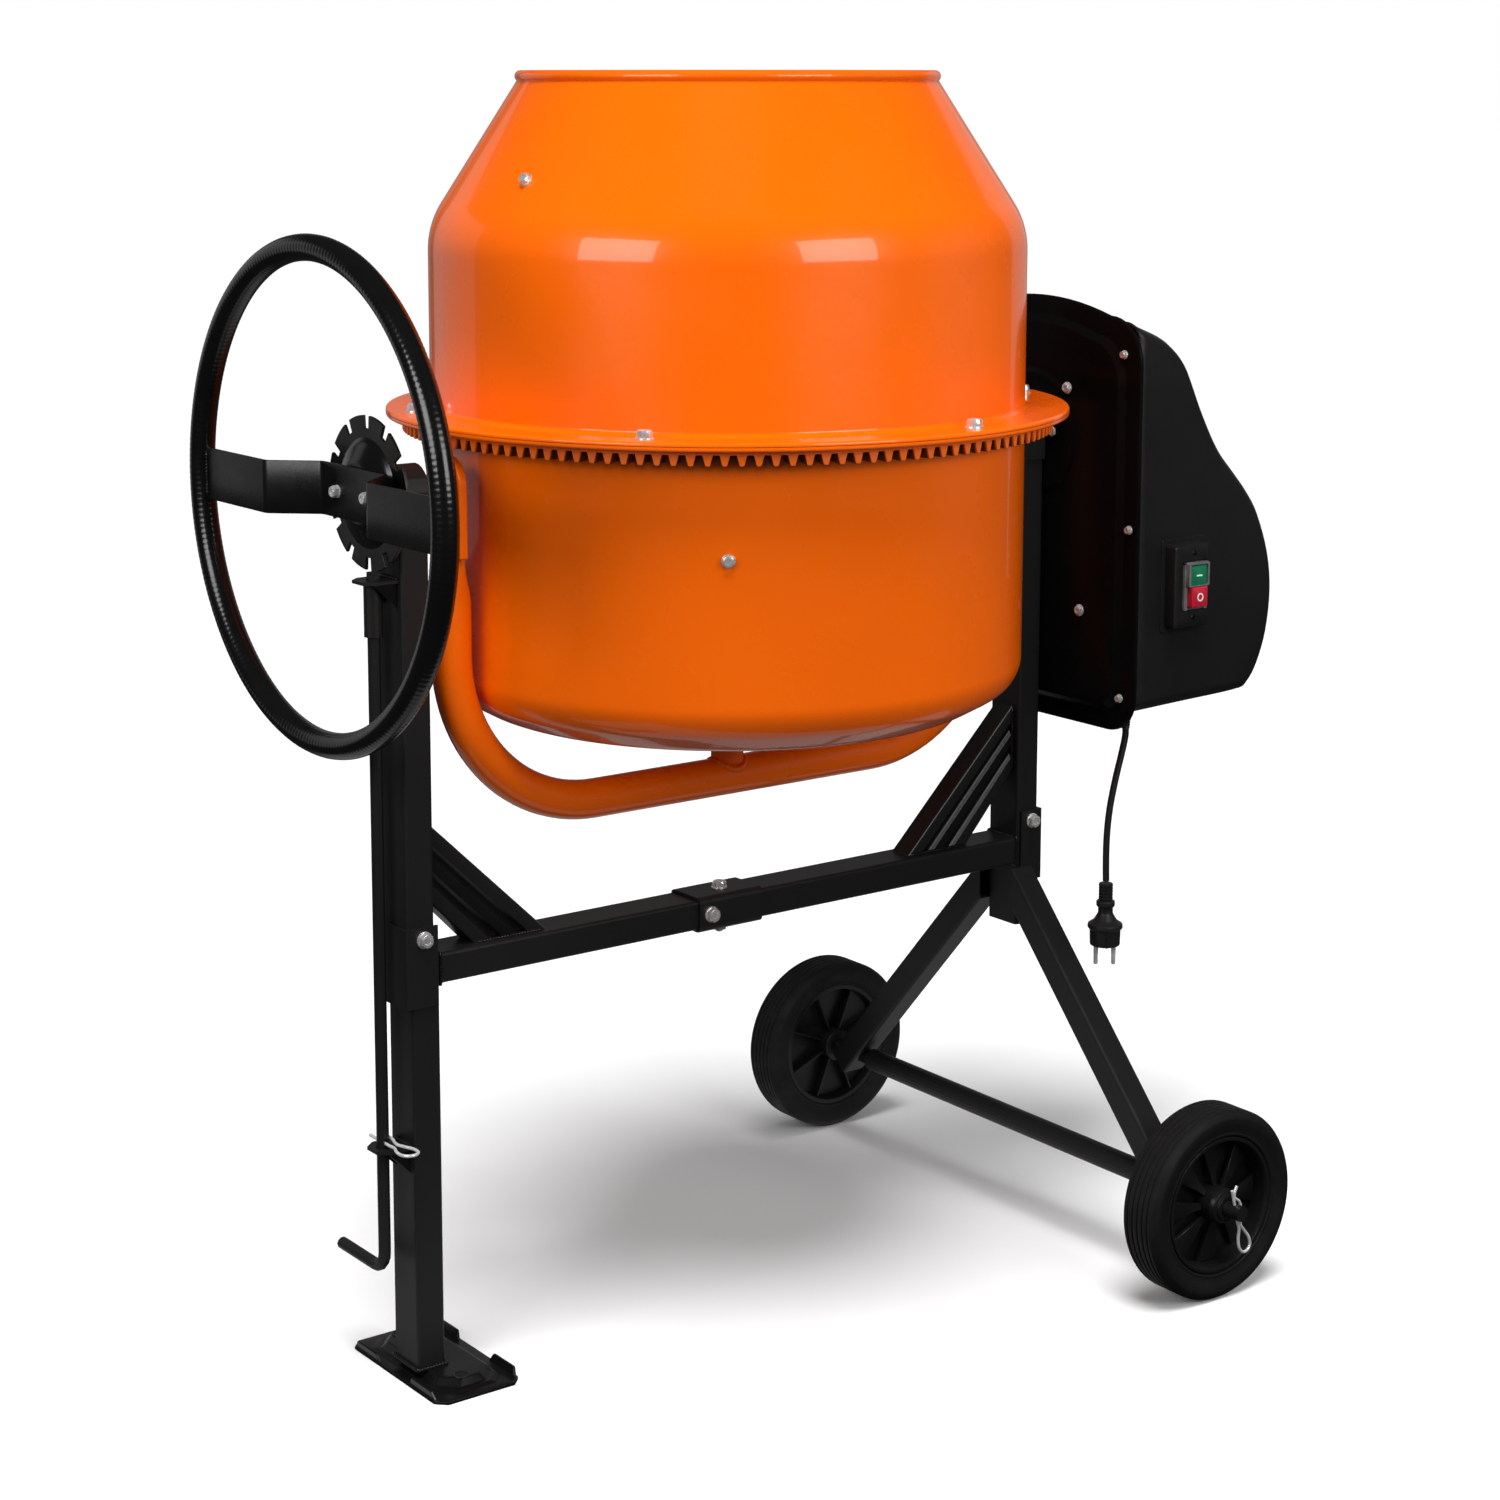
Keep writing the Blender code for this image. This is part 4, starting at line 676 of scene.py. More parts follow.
def ring_gear():
    tooth = ((0.0, 0.0), (0.165, 0.0), (0.205, 0.06), (0.35, 0.9), (0.39, 1.0), (0.61, 1.0), (0.65, 0.9),
             (0.795, 0.06), (0.835, 0.0))             # share of the pitch, share of the depth
    soft, rings = 0.0006, []
    for start in full_turn(GEAR_TEETH):
        for share, depth in tooth:
            a = start + 2 * pi / GEAR_TEETH * share
            z = GEAR_ROOT + (GEAR_TIP - GEAR_ROOT) * depth
            section = ((GEAR_INNER, GEAR_TOP), (GEAR_OUTER, GEAR_TOP), (GEAR_OUTER, z + soft),
                       (GEAR_OUTER - soft, z), (GEAR_INNER, z))
            rings.append([polar(r, a, h) for r, h in section])
    piece("crown_gear", loft(rings, True), GEAR_ORANGE, "drum", ON_AXIS, "ring_gear", bend=30)


def drum_bolts():
    for k in range(6):
        spot = polar(FLANGE_BOLT_R, radians(220 + 60 * k), FLANGE_TOP)
        bolt(f"flange_bolt_{k + 1}", facing(spot, (0, 0, 1)), "drum", FLANGE_BOLT)
    for k, turn in enumerate((0, 180)):
        for part, angle, z in BLADE_BOLT_SPOTS:
            a, lean, r = radians(angle + turn), 0.0, WALL_R
            if part == "high":
                lean, r = CONE_LEAN, WALL_R - (z - SHOULDER_Z) * tan(CONE_LEAN)
            normal = polar(cos(lean), a, sin(lean))
            spot = polar(r, a, z)
            bolt(f"blade_bolt_{part}_{k + 1}", facing(spot, normal), "drum", BLADE_BOLT)
            inside = facing(spot - normal * (SHEET + 0.004), -normal)
            bolt(f"blade_nut_{part}_{k + 1}", inside, "drum", BLADE_NUT)


def blades():
    """Two helical paddles inside the drum, with their feet on its wall."""
    wide, thick, stand_off, stations = 0.055, 0.003, 0.006, 40
    start, end = (233.8, 0.79), (189.0, 1.16)       # angle and height of the two ends

    def wall(z):
        return WALL_R - SHEET - max(0.0, z - SHOULDER_Z + 0.012) * tan(CONE_LEAN)

    def station(t, turn):
        a = radians(start[0] + (end[0] - start[0]) * t + turn)
        z = start[1] + (end[1] - start[1]) * t
        across = polar(1, a + pi / 2)
        width = wide * (0.55 + 0.45 * sin(pi * t)) * min(1.0, 0.55 + 6 * min(t, 1 - t))
        lean = 0.012 * sin(pi * t)
        ring = []
        for share, side in ((0, 1), (0.5, 1), (0.96, 1), (1, 0.5), (1, -0.5), (0.96, -1), (0.5, -1), (0, -1)):
            shift = lean * share * share + side * thick / 2
            ring.append(polar(wall(z) - stand_off - width * share, a, z) + across * shift)
        return ring

    foot = prism(rectangle(0.02, 0.011, 0.004, 4), -0.0005, 0.0035)
    for k, turn in enumerate((0, 180)):
        rings = [station(i / stations, turn) for i in range(stations + 1)]
        piece(f"blade_{k + 1}", loft(rings), ORANGE, "drum", ON_AXIS, f"mixing_blade_{k + 1}", bend=40)
        for part, angle, z in BLADE_BOLT_SPOTS:
            a = radians(angle + turn)
            lean = CONE_LEAN if part == "high" else 0.0
            place = facing(polar(wall(z), a, z), -polar(cos(lean), a, sin(lean)))
            piece(f"blade_foot_{part}_{k + 1}", foot, ORANGE, "drum", place, bevel=0.0006)


# Tilting frame

def yoke():
    line = rounded([(YOKE_LEFT_X, TILT_Z - 0.045, 0), (YOKE_LEFT_X, YOKE_LOW, YOKE_BEND),
                    (YOKE_RIGHT_X, YOKE_LOW, YOKE_BEND), (YOKE_RIGHT_X, YOKE_TOP - 0.003, 0),
                    (YOKE_RIGHT_X, YOKE_TOP, 0)], 26)
    squash_from, squash_to = TILT_Z - 0.115, TILT_Z - 0.055
    stem = [(YOKE_LEFT_X, squash_from + (squash_to - squash_from) * k / 10) for k in range(10, -1, -1)]
    route = stem + line[1:]

    def section(i):
        """Round, but squashed flat towards the left end."""
        x, z = route[i]
        share = 0.0
        if x < YOKE_LEFT_X + 0.001:
            share = max(0.0, min(1.0, (z - squash_from) / (squash_to - squash_from)))
            share = share * share * (3 - 2 * share)
        half_wide = YOKE_R + (EAR_HALF - 0.001 - YOKE_R) * share
        half_thick = YOKE_R + (EAR_THICK / 2 - YOKE_R) * share
        if i == len(route) - 1:
            half_wide = half_thick = YOKE_R - 0.003
        return [(half_wide * cos(a), half_thick * sin(a)) for a in full_turn(32)]

    piece("yoke_tube", tube([AXIS + Vector((x, 0, z)) for x, z in route], section, (0, 1, 0)), ORANGE,
          "tilt_frame", None, "yoke", bend=50)
    top, low = YOKE_TOP - TILT_Z, squash_to - TILT_Z - 0.012
    ear = [(-EAR_HALF, low), (EAR_HALF, low), *arc(EAR_HALF, 0, 180, 24, (0, top - EAR_HALF))]
    piece("yoke_ear", prism(ear, -EAR_THICK / 2, EAR_THICK / 2), ORANGE, "tilt_frame",
          at(YOKE_LEFT_X, 0, TILT_Z, ALONG_X), bevel=0.0018)
    boss = rounded([(0.0118, 0, 0), (0.0185, 0, 0.002), (0.0185, 0.01, 0.001), (0.0118, 0.01, 0)], 3)
    piece("ear_boss", lathe(boss, 40), ORANGE, "tilt_frame", at(YOKE_LEFT_X - 0.0145, 0, TILT_Z, ALONG_X))
    seat_z = YOKE_LOW + YOKE_R - 0.0004
    neck = rounded([(0.0146, -0.004, 0), (0.0165, -0.004, 0), (0.0165, 0.018, 0.001), (0.0146, 0.018, 0)], 3)
    piece("spindle_sleeve", lathe(neck, 40), ORANGE, "tilt_frame", at(0, 0, seat_z))
    saddle = [polar(0.0182, a, seat_z - 0.001 - 0.0085 * sin(a) ** 2) for a in full_turn(28)]
    weld("spindle_weld", saddle, 0.0030, ORANGE, "tilt_frame", True)


def handwheel():
    steps, ripples, ripple = 1056, 264, 0.00008
    ring = [Vector((HANDWHEEL_X + DRUM_X, HANDWHEEL_R * cos(a), TILT_Z + HANDWHEEL_R * sin(a)))
            for a in full_turn(steps)]

    def grip(i):
        return arc(GRIP_R - ripple + ripple * cos(2 * pi * i * ripples / steps), 0, 342, 19)

    piece("handwheel_ring", tube(ring, grip, (1, 0, 0), True), SHINY_BLACK, "tilt_frame", None,
          "handwheel_rim", bend=60)
    end, knee_out, knee_in, bend = HANDWHEEL_R - GRIP_R + 0.002, 0.095, 0.059, 0.009
    half_line = [(HANDWHEEL_X, end, 0), (HANDWHEEL_X, knee_out, bend), (STRAP_FLAT_X, knee_in, bend)]
    line = rounded(half_line + [(x, -y, r) for x, y, r in half_line[::-1]], 7)
    half, tall = STRAP_THICK / 2, STRAP_TALL / 2
    edge = rectangle(tall, half, 0.001, 2)
    strap = tube([(x + DRUM_X, y, TILT_Z) for x, y in line], lambda i: edge, (0, 0, 1))
    piece("handwheel_spoke", strap, BLACK, "tilt_frame", None, "handwheel_strap")
    for side, sign in FRONT_REAR[::-1]:
        for face, shift in (("outer", -half - 0.0008), ("inner", half + 0.0008)):
            x, y = HANDWHEEL_X + shift, sign * (end - 0.005)
            weld(f"spoke_weld_{side}_{face}", [(x, y, TILT_Z - tall + 0.003), (x, y, TILT_Z + tall - 0.003)],
                 0.0022, BLACK, "tilt_frame")
        seat = facing((STRAP_FLAT_X - half, sign * 0.028, TILT_Z), (-1, 0, 0))
        bolt(f"spoke_bolt_{side}", seat, "tilt_frame", SPOKE_BOLT)


def index_disc():
    half, spread = degrees(NOTCH_HALF / DISC_R) + 0.8, degrees(NOTCH_HALF / NOTCH_FLOOR)
    edge = []
    for k in range(NOTCHES):
        middle = 360 * k / NOTCHES
        edge += arc(NOTCH_FLOOR, middle - spread, middle + spread, 4)
        edge += arc(DISC_R, middle + half, middle + 360 / NOTCHES - half, 10)
    place = at(DISC_X, 0, TILT_Z, ALONG_X)
    piece("index_plate", prism(edge, -DISC_THICK / 2, DISC_THICK / 2), BLACK, "tilt_frame", place,
          "index_disc", bevel=0.0005)
    rise = DISC_X - STRAP_FLAT_X - STRAP_THICK / 2 - GAP
    dome = rounded([(0.0, -rise, 0), (0.03, -rise, 0.018), (0.0465, -rise * 0.42, 0.02),
                    (0.052, -0.0012, 0.004), (0.0545, 0.0, 0)], 8) + [(0.0, 0.0)]
    piece("index_dome", lathe(dome, 72, False), SHINY_BLACK, "tilt_frame", place, bend=50)


# Motor housing

def panel_outline(inset, steps=10):
    """The panel's outline in (y, z): crowned top and round corners."""
    half, low, corner = PANEL_HALF - inset, PANEL_LOW + inset, 0.04 - inset * 0.5
    shoulder, top_corner, crown = 0.108, 0.049, 0.016
    top = PANEL_HIGH - inset
    side = arc(corner, 270, 360, steps, (half - corner, low + corner))
    ratio = half - shoulder * half / PANEL_HALF
    edge = half - ratio
    for i in range(steps + 1):
        a = radians(90 * i / steps)
        side.append((edge + ratio * cos(a), top - crown - top_corner + top_corner * sin(a)))
    side += [(edge * s, top - crown * s * s) for s in (0.85, 0.7, 0.55, 0.4, 0.25, 0.12)]
    return side + [(0.0, top)] + [(-y, z) for y, z in side[::-1]]


def housing_panel():
    layers = rounded([(0.0, PANEL_BACK, 0), (0.0, PANEL_RIM, 0.0022), (0.0205, PANEL_RIM, 0.003),
                      (0.0275, PANEL_X, 0.003), (0.034, PANEL_X, 0)], 4)
    press = loft([[(x, y, z) for y, z in panel_outline(inset)] for inset, x in layers])
    piece("housing_back_panel", press, PANEL_BLACK, "tilt_frame", ON_AXIS, "housing_panel", bend=40)
    bulge = rounded([(0.019, 0.0014, 0), (0.019, -0.0022, 0.001), (0.064, -0.0022, 0.003),
                     (0.0715, 0.0008, 0.003), (0.074, 0.001, 0)], 4)
    place = at(PANEL_X, 0, TILT_Z, ALONG_X)
    piece("panel_bulge", lathe(bulge, 96), PANEL_BLACK, "tilt_frame", place, bend=50)
    rim_spots = [(0.133, 0.954), (0.145, 0.771), (0.136, 0.59)]
    inner_spots = [(0.053, 0.913), (0.078, 0.677)]
    for side, sign in FRONT_REAR:
        for name, x, size, spots in (("screw", PANEL_RIM, PANEL_SCREW, rim_spots),
                                     ("bolt", PANEL_X, PANEL_BOLT, inner_spots)):
            for k, (y, z) in enumerate(spots):
                bolt(f"panel_{name}_{side}_{k + 1}", facing((x, sign * y, z), (-1, 0, 0)), "tilt_frame", size)
    for k, angle in enumerate((95, 185, 275, 5)):
        spot = polar(0.033, radians(90 - angle))
        seat = facing((PANEL_X - 0.0022, spot.x, TILT_Z + spot.y), (-1, 0, 0))
        bolt(f"hub_bolt_{k + 1}", seat, "tilt_frame", HUB_BOLT)


def housing_cover():
    """A moulded shell: its side profile in (x, z), drawn in towards both ends."""
    keys = ((0.415, 0.988), (0.455, 0.973), (0.474, 0.961), (0.4865, 0.949), (0.496, 0.934), (0.518, 0.893),
            (0.546, 0.85), (0.572, 0.822), (0.592, 0.8), (0.611, 0.772), (0.628, 0.726), (0.633, 0.682),
            (0.627, 0.637), (0.614, 0.603), (0.599, 0.583), (0.582, 0.578), (0.5, 0.575), (0.415, 0.572))
    line = flowing(keys, 4)
    middle = Vector((0.49, 0.77))
    edge, steps = 0.02, 8
    angles = [radians(90 * i / steps) for i in range(steps + 1)]
    bands = [(COVER_HALF - edge + edge * sin(a), edge * (1 - cos(a))) for a in angles]
    start_x = PANEL_BACK + GAP

    def shell(bm):
        rings = []
        for y, inset in [(-y, inset) for y, inset in bands[::-1]] + bands:
            ring = []
            for i, point in enumerate(line):
                spot = point + (middle - point).normalized() * inset * 0.8
                x = start_x if i in (0, len(line) - 1) else max(spot.x, start_x)
                ring.append(bm.verts.new((x, y, spot.y)))
            rings.append(ring)
        for ring, after in zip(rings, rings[1:]):
            for j in range(len(ring) - 1):
                bm.faces.new((ring[j], ring[j + 1], after[j + 1], after[j]))
        bm.faces.new(rings[0])
        bm.faces.new(rings[-1])
        bmesh.ops.remove_doubles(bm, verts=bm.verts, dist=1e-5)

    cover = piece("housing_shell", shell, PLASTIC, "tilt_frame", ON_AXIS, "housing_cover", bend=60)
    wall = cover.modifiers.new("wall", "SOLIDIFY")
    wall.thickness, wall.offset = 0.003, -1.0
    piece("switch_seat", prism(rectangle(0.031, 0.050, 0.004, 5), -0.0005, 0.0010), PLASTIC, "tilt_frame",
          at(SWITCH_X, -COVER_HALF, SWITCH_Z, FRONT), bevel=0.0005)


def switch_plate():
    """The switch box: a raised frame round the well of the buttons, with two screws."""
    wide, tall, base, face = 0.051, 0.089, 0.0008, -SWITCH_FACE - COVER_HALF
    outer = rectangle(wide / 2, tall / 2, 0.004, 5)

    def lift(z, shrink=0.0):
        return [Vector((x * (1 - shrink / (wide / 2)), y * (1 - shrink / (tall / 2)), z)) for x, y in outer]

    def window(grow, z):
        loop = rectangle(WELL_HALF + grow, WELL_TALL + grow, 0.002, 5, (WELL_X - SWITCH_X, 0))
        return raised(loop, z)

    rings = [lift(base), lift(face - 0.002), lift(face - 0.0006, 0.0006), lift(face, 0.0018),
             window(0.0016, face), window(0.0004, face - 0.0006), window(0.0, face - 0.002),
             window(0.0, face - 0.0115)]
    piece("switch_plate", loft(rings), PLASTIC, "tilt_frame", at(SWITCH_X, -COVER_HALF, SWITCH_Z, FRONT),
          "switch_box", bend=40)
    screw = rounded([(0.0, 0.001, 0), (0.0026, 0.0006, 0.001), (0.0036, -0.0004, 0), (0.0036, -0.003, 0)], 3)
    head = lathe(screw + [(0.0, -0.003)], 24, False)
    for name, z in (("upper", 0.0345), ("lower", -0.0345)):
        place = at(SWITCH_X + 0.003, SWITCH_FACE + 0.0004, SWITCH_Z + z, FRONT)
        piece(f"switch_screw_{name}", head, SHINY_BLACK, "tilt_frame", place, slot="black_plastic")


def switch_guard():
    """The grey frame round the buttons, with a hood over the upper one."""
    half_x, half_z, key_x, key_z, low, high = 0.0166, 0.0256, 0.0122, 0.0228, -0.0095, 0.002
    bars = ((-half_x, -half_z, -key_x, half_z, high), (key_x, -half_z, half_x, half_z, high),
            (-half_x, key_z, half_x, half_z, high), (-half_x, -half_z, half_x, -key_z, 0.0),
            (-key_x, -0.0009, key_x, -0.0001, -0.0005))
    centre = at(WELL_X, SWITCH_FACE, SWITCH_Z, FRONT)
    guard = [prism([(x0, y0), (x1, y0), (x1, y1), (x0, y1)], low, top) for x0, y0, x1, y1, top in bars]
    piece("switch_guard", guard, GUARD, "tilt_frame", centre, "switch_frame", bevel=0.0004)
    hood = rounded([(-0.015, 0.0, 0.001), (0.015, 0.0, 0.001), (0.015, half_z, 0.002),
                    (-0.015, half_z, 0.002)], 3, True)
    hole = rectangle(0.0122, 0.011, 0.001, 3, (0, 0.0122))
    rings = [raised(loop, z) for loop, z in ((hood, 0.0), (hood, 0.007), (hole, 0.007), (hole, 0.0))]
    piece("switch_collar", loft(rings, True), GUARD, "tilt_frame", centre, bevel=0.0005)


def buttons():
    for name, side, look, proud in (("on", 1, GREEN, 0.0065), ("off", -1, RED, 0.0085)):
        place = at(WELL_X, SWITCH_FACE, SWITCH_Z + side * BUTTON_PITCH / 2, FRONT)
        rings = []
        for z, shrink in ((-0.0035, 0), (proud - 0.0012, 0), (proud - 0.0004, 0.0003), (proud, 0.0011)):
            rings.append(raised(rectangle(KEY_HALF_X - shrink, KEY_HALF_Z - shrink, 0.0012, 4), z))
        piece(f"{name}_key", loft(rings), look, f"{name}_button", place, f"{name}_button")
        symbol = prism(rectangle(0.0042, 0.0008, 0.0006, 3), proud - 0.0003, proud + 0.00035)
        if name == "off":
            low, high = proud - 0.0003, proud + 0.00035
            symbol = lathe([(0.003, low), (0.0044, low), (0.0044, high), (0.003, high)], 40)
        piece(f"{name}_symbol", symbol, WHITE, f"{name}_button", place)


# Stand

def foot():
    """The pressed foot: a flat rim, a raised octagonal middle in two steps, and upturned lips."""
    half_x, half_y = FOOT_WIDE / 2, FOOT_LONG / 2

    def octagon(inset, cut, bend):
        x, y = half_x - inset, half_y - inset
        corners = ((cut - x, -y), (x - cut, -y), (x, cut - y), (x, y - cut), (x - cut, y), (cut - x, y),
                   (-x, y - cut), (-x, cut - y))
        return rounded([(*corner, bend) for corner in corners], 4, True)

    levels = [(0.0, 0.0, 0), (0.0, 0.0028, 0.0008), (0.01, 0.0028, 0.0015), (0.0135, 0.005, 0.0015),
              (0.0165, 0.005, 0.0012), (0.021, 0.0118, 0.002), (0.025, 0.0118, 0)]
    rings = []
    for inset, z in rounded(levels, 3):
        share = min(1.0, inset / 0.0135)
        rings.append(raised(octagon(inset, 0.01 + 0.006 * share, 0.002 + 0.004 * share), z))
    piece("foot_pressing", loft(rings), BLACK, "stand", at(FOOT_X, FOOT_Y, 0), "foot_plate", bend=40)
    half, high, cut = 0.024, 0.01, 0.01
    tab = rounded([(-half, 0.0, 0), (half, 0.0, 0), (half - 0.006, high, 0.003),
                   (0.006 - half, high, 0.003)], 4, True)
    lip = prism(tab, -PLATE_THICK / 2, PLATE_THICK / 2)
    for side, sx in LEFT_RIGHT:
        for end, sy in FRONT_REAR:
            lean = Matrix.Rotation(sx * radians(14), 4, "Y") @ ALONG_X
            place = at(FOOT_X + sx * (half_x - 0.003), FOOT_Y + sy * (half_y - cut - half), 0.001, lean)
            piece(f"foot_lip_{side}_{end}", lip, BLACK, "stand", place, bevel=0.0006)
    rim = rounded([(0.0054, -0.0006, 0), (0.0092, -0.0006, 0.0004), (0.0084, 0.0004, 0.0003),
                   (0.006, 0.0002, 0.0003)], 2, True)
    # The dark disc inside each hole rim is painted shade: it stands in for the dark space seen through the hole.
    inside = [(0.0, 0.00005), (0.0056, 0.00005), (0.0056, -0.0006), (0.0, -0.0006)]
    for name, sign in FRONT_REAR:
        hole = at(FOOT_X - 0.006, FOOT_Y + sign * 0.058, FOOT_STEP)
        piece(f"foot_hole_rim_{name}", lathe(rim, 28), BLACK, "stand", hole)
        piece(f"foot_hole_{name}", lathe(inside, 28, False), RUBBER, "stand", hole, slot="black_paint")
    joint = rectangle(TUBE_X / 2 + 0.0008, TUBE_Y / 2 + 0.0008, 0, 1, (LEG_X, 0))
    weld("foot_weld", raised(joint, FOOT_STEP + 0.0006), 0.0026, BLACK, "stand", True)


def braces():
    """Pressed diagonals: a channel with two ribs, cut along the post and along the crossbar."""
    deep, rib, low, band = 0.0125, 0.0028, BAR_Z + TUBE_X / 2 + GAP, 0.0765
    outer = [(0.0, deep, 0), (0.0, -deep, 0.0035), (0.17, -deep, 0.002)]
    for middle in (0.33, 0.67):
        outer += [(middle + step, y, 0.0015) for step, y in (
            (-0.09, -deep), (-0.035, rib - deep), (0.035, rib - deep), (0.09, -deep))]
    outer += [(0.83, -deep, 0.002), (1.0, -deep, 0.0035), (1.0, deep, 0)]
    loop = thickened(rounded([(s * band, y, r) for s, y, r in outer], 3), -PLATE_THICK)
    half_post = TUBE_X / 2 + GAP
    for name, corner, side, high, reach in (("left_brace", POST_LEFT_X + half_post, 1, 0.125, 0.131),
                                            ("right_brace", POST_RIGHT_X - half_post, -1, 0.146, 0.146)):
        start = [Vector((corner, y, low + high - s)) for s, y in loop]
        end = [Vector((corner + side * (reach - s * 1.1), y, low)) for s, y in loop]
        piece(f"{name}_pressing", loft([start, end]), BLACK, "stand", ON_AXIS, name, bend=45)
        post = [(corner, -deep, low + high - 0.004), (corner, -deep, low + high - band + 0.004)]
        bar = [(corner + side * far, -deep, low) for far in (reach - 0.004, reach - band - 0.002)]
        for part, spots in (("post", post), ("bar", bar)):
            weld(f"{name}_weld_{part}", spots, 0.0017, BLACK, "stand")


def stand_bolts():
    face, top_face = TUBE_Y / 2 + GAP + SHEET, TUBE_X / 2 + GAP + SHEET
    for name, x, z in (("left_channel_bolt", POST_LEFT_X + 0.002, CHANNEL_BOLT_Z),
                       ("right_channel_bolt", POST_RIGHT_X + 0.0045, CHANNEL_BOLT_Z),
                       ("sleeve_side_bolt", BAR_SPLIT_X - 0.014, BAR_Z)):
        bolt(f"{name}_head", at(x, -face, z, FRONT), "stand", FRAME_BOLT, name, 2 * face + 0.01)
    bolt("sleeve_top_bolt_head", at(BAR_SPLIT_X + 0.014, 0, BAR_Z + top_face), "stand", FRAME_BOLT,
         "sleeve_top_bolt", 2 * top_face + 0.01)


def tyre_outline():
    """A solid tyre's outline in (r, z): two crowned sidewalls and five grooves round the tread."""
    sidewall = [(TYRE_INNER_R, 0.0196, 0), (0.0742, 0.0212, 0.0008), (0.0762, 0.0206, 0.0008),
                (0.085, 0.0236, 0.008), (0.0925, 0.0246, 0.005), (0.0978, 0.0205, 0.004)]
    crown, depth, tread = 0.0996, 0.0016, []
    for z in (0.0138, 0.007, 0.0, -0.007, -0.0138):
        tread += [(crown, z + 0.0011, 0.0004), (crown - depth, z + 0.0005, 0.0003),
                  (crown - depth, z - 0.0005, 0.0003), (crown, z - 0.0011, 0.0004)]
    back = [(r, -z, bend) for r, z, bend in sidewall[::-1]]
    return rounded(sidewall + [(crown, 0.0175, 0.0012)] + tread + [(crown, -0.0175, 0.0012)] + back, 2)


def rim_makers():
    """A moulded rim: its barrel, hub and web, eight spokes in front and eight ribs behind."""
    rim_r, bore, spokes = TYRE_INNER_R - GAP, AXLE_R + GAP, 8
    barrel = rounded([(rim_r - inward, z, bend) for inward, z, bend in (
        (0, 0.018, 0), (0.0008, 0.0205, 0.0008), (0.0045, 0.0205, 0.001), (0.006, 0.017, 0.001),
        (0.0075, 0.002, 0.001), (0.0075, -0.006, 0.001), (0.005, -0.019, 0.001), (0, -0.019, 0))], 3)
    hub = rounded([(bore, 0.03, 0), (0.0135, 0.03, 0.0008), (0.0135, 0.027, 0.0005),
                   (0.017, 0.0262, 0.001), (0.0188, 0.0215, 0.002), (0.0188, -0.024, 0.001),
                   (bore, -0.026, 0)], 3)
    inner, outer, fin_half = 0.0165, rim_r - 0.007, 0.0011
    levels = ((inner + 0.001, 7.5, 0.01), (0.03, 9.0, 0.0075), (0.05, 11.5, 0.005), (outer, 13.5, 0.0035))
    edge = ((-1, 0.0045), (-1, 0.0004), (-0.94, 0.0), (0.94, -0.0012), (1, -0.0008), (1, 0.0033))
    makers = [lathe(barrel, 96), lathe(hub, 40)]
    for turn in full_turn(spokes):
        rings = []
        for r, spread, z in levels:
            rings.append([polar(r, turn + radians(spread) * share, z - drop) for share, drop in edge])
        makers.append(loft(rings))
        a = turn + pi / spokes
        out, across = polar(1, a), polar(fin_half, a + pi / 2)
        fin = [out * inner - across, out * outer - across, out * outer + across, out * inner + across]
        makers.append(prism([spot.xy for spot in fin], -0.016, -0.003))
    web = [(0.018, -0.001), (rim_r - 0.0074, -0.003), (rim_r - 0.0074, -0.006), (0.018, -0.004)]
    return [*makers, lathe(web, 96)]


def wheels():
    for name, side in FRONT_REAR:
        place = at(AXLE_X, side * WHEEL_Y, WHEEL_R, Matrix.Rotation(-side * pi / 2, 4, "X"))
        piece(f"{name}_tyre", lathe(tyre_outline(), 128), RUBBER, f"{name}_wheel", place,
              f"{name}_wheel_tyre", bend=40)
        piece(f"{name}_rim", rim_makers(), RIM_PLASTIC, f"{name}_wheel", place, f"{name}_wheel_rim")


def spring_clip(name, body, place, bar_r, node):
    """An R clip: a straight leg through the bar, a long loop and a waved leg over the bar."""
    wire = 0.0016
    over = bar_r + wire + 0.0006
    points = [(-0.024, 0.0), (-0.012, 0.0), (0.0, 0.0), (0.012, 0.0), (0.021, 0.0005), (0.03, -0.0026),
              (0.04, -0.0034), (0.0475, 0.0005), (0.049, 0.007), (0.045, 0.0125), (0.036, 0.0125),
              (0.027, 0.0085), (0.019, 0.0052), (0.0125, 0.0058), (0.0065, over * 0.92), (0.0, over),
              (-0.0065, over * 0.9), (-0.012, over * 0.5), (-0.017, over * 0.55), (-0.023, over * 1.05)]
    route = flowing([(x, y, 0.0003 * max(0, i - 6)) for i, (x, y) in enumerate(points)], 5)
    section = arc(wire, 0, 330, 11)
    piece(name, tube(route, lambda i: section), WIRE, body, place, node, bend=60)


def clips():
    hang = Matrix.Rotation(radians(-14), 4, "Y") @ Matrix(((0, 1, 0), (0, 0, 1), (-1, 0, 0))).to_4x4()
    for name, side in FRONT_REAR:
        spring_clip(f"{name}_axle_r_clip", "stand", at(AXLE_X, side * CLIP_Y, WHEEL_R, hang), AXLE_R,
                    f"{name}_axle_clip")
    flat = Matrix.Rotation(radians(-90), 4, "Z")
    spring_clip("lock_rod_r_clip", "lock", at(ROD_X, 0, LOW_TAB_Z + 0.0045, flat), ROD_R, "lock_rod_clip")


